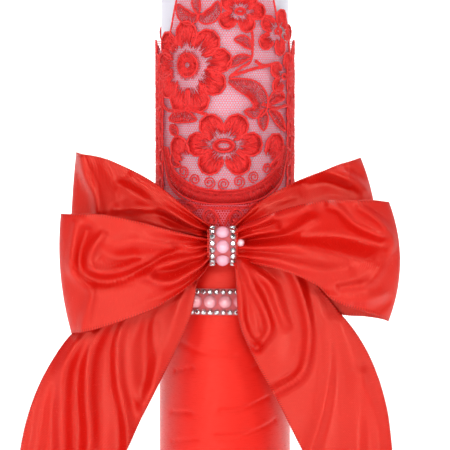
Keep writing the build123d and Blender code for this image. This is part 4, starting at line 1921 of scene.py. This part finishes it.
LEFT_TAIL = Tail(
    name="left_tail",
    replaced="bow_left_tail",
    inner=((-3.5, -5), (-7.5, -10), (-11, -16), (-12, -22), (-14.2, -31.3), (-19.3, -43.1),
           (-27.7, -60), (-34.5, -73.5), (-41.2, -87.7), (-46, -97)),
    outer=((-5, -3), (-22, -13), (-42, -25), (-58, -33.5), (-66.5, -40), (-75.8, -54.1),
           (-82, -68), (-86.4, -84), (-90, -108.6)),
    depth=34.9,
    root_depth=34.6,
    folds=(
        Fold(((-38, -26), (-42.5, -34), (-45, -43), (-44.5, -58), (-41.5, -74), (-40, -92)),
             4.2, 2.6, (0.4, 1)),
        Fold(((-34, -25), (-36.5, -35), (-39.5, -44), (-38.6, -60), (-35, -69)), 2.0, 2.2, (0.3, 0.6)),
        Fold(((-24, -18), (-29.5, -30), (-28, -44), (-28.5, -56), (-32.5, -68)), 3.0, 2.8, (0.4, 0.6)),
        Fold(((-27, -24), (-33.5, -38), (-33.5, -58)), -1.2, 2.6),
        Fold(((-16, -18), (-20, -30), (-24, -44), (-31, -62), (-42, -88)), 1.6, 3.2, (1, 0.5)),
        Fold(((-50, -32), (-56.5, -46), (-58, -62), (-57, -80), (-58, -100)), 4.4, 3.2),
        Fold(((-58, -36), (-67, -52), (-69, -70), (-69, -90), (-72, -104)), 3.6, 3.4),
        Fold(((-64, -42), (-75, -62), (-79, -82), (-82, -104)), 1.4, 3.0),
        Fold(((-46, -60), (-50, -80), (-51, -98)), 1.2, 4.0, (0.2, 1)),
    ),
)

RIGHT_TAIL = Tail(
    name="right_tail",
    replaced="bow_right_tail",
    inner=((3.6, -5), (5.4, -10), (6.0, -19.5), (6.8, -31.3), (9.2, -39.5), (15.5, -52.4),
           (24, -67.6), (29.8, -79.4), (34.6, -88.7), (40, -98)),
    outer=((4.6, 1.5), (14, -0.5), (26, -5), (38, -14.5), (50.9, -29.6), (56.9, -37.2), (62, -45.6),
           (66.1, -54.9), (68.9, -63.5), (71.2, -73.5), (72.9, -87.7), (75, -108.6)),
    depth=35.6,
    root_depth=37.8,
    folds=(
        Fold(((8, 0.5), (18, -0.6), (26, -6), (31.8, -15), (36, -29), (37, -41), (33.6, -55), (22, -63)),
             4.6, 2.3, (0.6, 0.6)),
        Fold(((14, -4), (22, -8), (27, -17), (29, -32), (29, -46)), -0.5, 3.4),
        Fold(((5.4, -6), (7.6, -20), (8.2, -31), (11, -39), (14.6, -43)), 2.6, 2.1),
        Fold(((14.6, -43.5), (19.6, -36.5), (18, -28), (11.5, -14), (7.5, -6)), 2.8, 2.1),
        Fold(((10, -16), (13, -27), (14.6, -37)), 1.2, 2.2),
        Fold(((9, -6), (15, -12), (20.6, -17), (24, -26), (27.3, -34)), 2.8, 2.3, (1, 0.5)),
        Fold(((40, -22), (44, -36), (45.5, -52), (43, -70), (38, -88)), 1.6, 3.0, (0.5, 1)),
        Fold(((50, -34), (56, -50), (58, -68), (58, -90)), 1.8, 5.0),
        Fold(((60, -56), (66, -76), (68, -100)), 1.2, 3.6),
    ),
    pleats=3,
)


@dataclass
class Bow:
    """Four loops and two tails of picot-edged satin ribbon, gathered in a tied knot."""

    frame: Frame
    finishes: Finishes
    cloth: Cloth = field(default_factory=Cloth)
    core_pleats: int = 11
    core_half: float = 6.6
    around: int = 132

    def ribbon(self, shape: Loop | Tail) -> None:
        """One length of ribbon, with its picots.

        Args:
            shape: the loop or tail.
        """
        points, place = shape.surface(self.frame.knot, self.cloth.width)
        rows, columns = points.shape[:2]
        faces = grid_faces(rows, columns)
        made = Pile.of(shape.name, points, [faces if shape.faces_left else faces[:, ::-1]], place)
        thicken(made, self.cloth.thickness)
        self.finishes.dress(made, Body.BOW, Finish.ribbon_satin, [shape.replaced])
        edging = self.cloth.picots([points[:, 0], points[:, -1]], f"{shape.name}_picots")
        self.finishes.dress(edging, Body.BOW, Finish.ribbon_satin)

    def core(self) -> bpy.types.Object:
        """The gathered middle of the bow inside the knot.

        Its section is an ellipse in the plane across the bow, whose size goes up and down as a
        cosine of many pleats, and it flares with the square of the distance from the middle.

        Returns:
            The piece.
        """
        low, high = corners("knot_core")
        middle = (low + high) / 2
        half = (high - low) / 2
        across = np.linspace(-self.core_half, self.core_half, 40)[:, None]
        angle = np.arange(self.around)[None, :] * TURN / self.around
        pleat = 1 + 0.055 * np.cos(self.core_pleats * angle + 0.12 * across) * ease(np.abs(across) / 3)
        flare = 0.93 + 0.05 * (across / self.core_half) ** 2
        depth = half[1] * flare * pleat * np.cos(angle)
        height = half[2] * flare * pleat * np.sin(angle)
        points = np.stack([middle[0] + across + 0 * angle, middle[1] + depth, middle[2] + height], -1)
        end = np.arange(self.around)[None, :]
        faces = [grid_faces(len(across), self.around, False, True)[:, ::-1]]
        faces += [end, (len(across) - 1) * self.around + end[:, ::-1]]
        texture = np.stack(np.broadcast_arrays(across, 7.0 * angle), -1)
        return Pile.of("gathered_middle", points, faces, texture)

    def build(self) -> None:
        """Every length of ribbon and the gathered middle, and the finish of the thread and pin."""
        for shape in (FRONT_LEFT, FRONT_RIGHT, BACK_LEFT, BACK_RIGHT, LEFT_TAIL, RIGHT_TAIL):
            self.ribbon(shape)
        self.finishes.dress(self.core(), Body.BOW, Finish.ribbon_satin, ["knot_core"])
        self.finishes.keep("knot_thread", "pin_shaft", "pin_pearl")


# ---------------------------------------------------------------- floor, light and camera
@dataclass(frozen=True)
class Lamp:
    """One soft rectangular light: where it stands, its width and height, and its power."""

    name: str
    place: tuple[float, float, float]
    size: Point2
    power: float
    aim: tuple[float, float, float] = (0.0, -0.02, 0.12)

    def build(self) -> None:
        """Makes the light, turned towards its aim."""
        data = bpy.data.lights.new(self.name, "AREA")
        data.shape = "RECTANGLE"
        data.size, data.size_y = self.size
        data.energy = self.power
        made = bpy.data.objects.new(self.name, data)
        made.location = self.place
        made.rotation_euler = (Vector(self.aim) - Vector(self.place)).to_track_quat("-Z", "Y").to_euler()
        bpy.context.scene.collection.objects.link(made)


@dataclass
class Studio:
    """A pale sweep of paper, soft lights and the camera, in metres."""

    distance: float = 1.1
    elevation: float = 4.0
    seen_height: float = 0.1989
    aim_height: float = 0.1233
    paper_front: float = -1.6
    paper_bend: float = 1.3
    bend_radius: float = 0.5
    paper_top: float = 2.2
    paper_half: float = 2.6
    lamps: tuple[Lamp, ...] = (
        Lamp("left strip", (-0.85, -0.95, 0.5), (0.12, 0.7), 2.8),
        Lamp("right strip", (0.95, -0.9, 0.5), (0.12, 0.7), 3.2),
        Lamp("overhead", (0.0, -0.45, 1.15), (0.8, 0.25), 2.8),
        Lamp("front key", (0.12, -1.35, 0.62), (0.3, 0.2), 6.6),
        Lamp("low front strip", (-0.45, -1.25, 0.1), (0.08, 0.5), 5.0),
        Lamp("backdrop wash", (0.0, 0.7, 1.7), (2.4, 0.5), 46.0, (0.0, 1.7, 0.3)),
    )

    def backdrop(self) -> None:
        """Paper: level under the candle, then a quarter circle up into a wall."""
        angle = np.linspace(0, np.pi / 2, 24)
        wall = self.paper_bend + self.bend_radius
        bend = [self.paper_bend + self.bend_radius * np.sin(angle), self.bend_radius * (1 - np.cos(angle))]
        profile = np.concatenate(
            [[[self.paper_front, 0.0]], np.stack(bend, -1), [[wall, self.paper_top]]]
        ) / MM
        across = np.linspace(-self.paper_half, self.paper_half, 9) / MM
        points = np.stack(np.broadcast_arrays(across[None, :], profile[:, :1], profile[:, 1:]), -1)
        paper = Pile.of("paper_sweep", points, [grid_faces(len(profile), len(across))[:, ::-1]])
        s = Shader("studio paper")
        fibre = s.noise(s.place(), 400, 4)
        colour = s.mix(fibre, (0.90, 0.90, 0.90), (0.93, 0.93, 0.93))
        glow = {"Emission_Color": (1.0, 1.0, 1.0, 1.0), "Emission_Strength": 0.25}
        paper.data.materials.append(s.finish(colour, 0.9, **glow))

    def world(self) -> None:
        """Soft light from all round, darker behind the camera so that cut stones have contrast."""
        world = bpy.data.worlds.new("studio")
        bpy.context.scene.world = world
        world.use_nodes = True
        tree = world.node_tree
        back = tree.nodes["Background"]
        place = tree.nodes.new("ShaderNodeTexCoord")
        apart = tree.nodes.new("ShaderNodeSeparateXYZ")
        span = tree.nodes.new("ShaderNodeMapRange")
        tree.links.new(place.outputs["Generated"], apart.inputs[0])
        tree.links.new(apart.outputs["Y"], span.inputs["Value"])
        for key, value in {"From Min": -0.9, "From Max": -0.1, "To Min": 0.08, "To Max": 0.26}.items():
            span.inputs[key].default_value = value
        tree.links.new(span.outputs[0], back.inputs["Strength"])
        back.inputs["Color"].default_value = (1.0, 1.0, 1.0, 1.0)

    def camera(self) -> None:
        """A long lens a little above the middle of the candle, looking slightly down."""
        data = bpy.data.cameras.new("camera")
        data.sensor_fit = "VERTICAL"
        data.angle = 2 * np.arctan(self.seen_height / 2 / self.distance)
        made = bpy.data.objects.new("camera", data)
        tilt = np.radians(self.elevation)
        made.location = (
            0.0, -self.distance * np.cos(tilt), self.aim_height + self.distance * np.sin(tilt)
        )
        made.rotation_euler = (np.pi / 2 - tilt, 0.0, 0.0)
        bpy.context.scene.collection.objects.link(made)
        bpy.context.scene.camera = made

    def build(self) -> None:
        """Sets the whole studio up."""
        self.backdrop()
        self.world()
        self.camera()
        for lamp in self.lamps:
            lamp.build()
        bpy.context.scene.view_settings.view_transform = "Standard"


def main() -> None:
    """Builds the studio and every sub-assembly in order."""
    logging.basicConfig(level=logging.INFO, format="%(name)s: %(message)s")
    sizes = Frame.read()
    finishes = Finishes()
    Studio().build()
    Pillar().build(finishes)
    Sleeve(sizes).build(finishes)
    Lace(sizes, finishes).build()
    Trim(sizes, finishes).build()
    Bow(sizes, finishes).build()


if __name__ == "__main__":
    main()
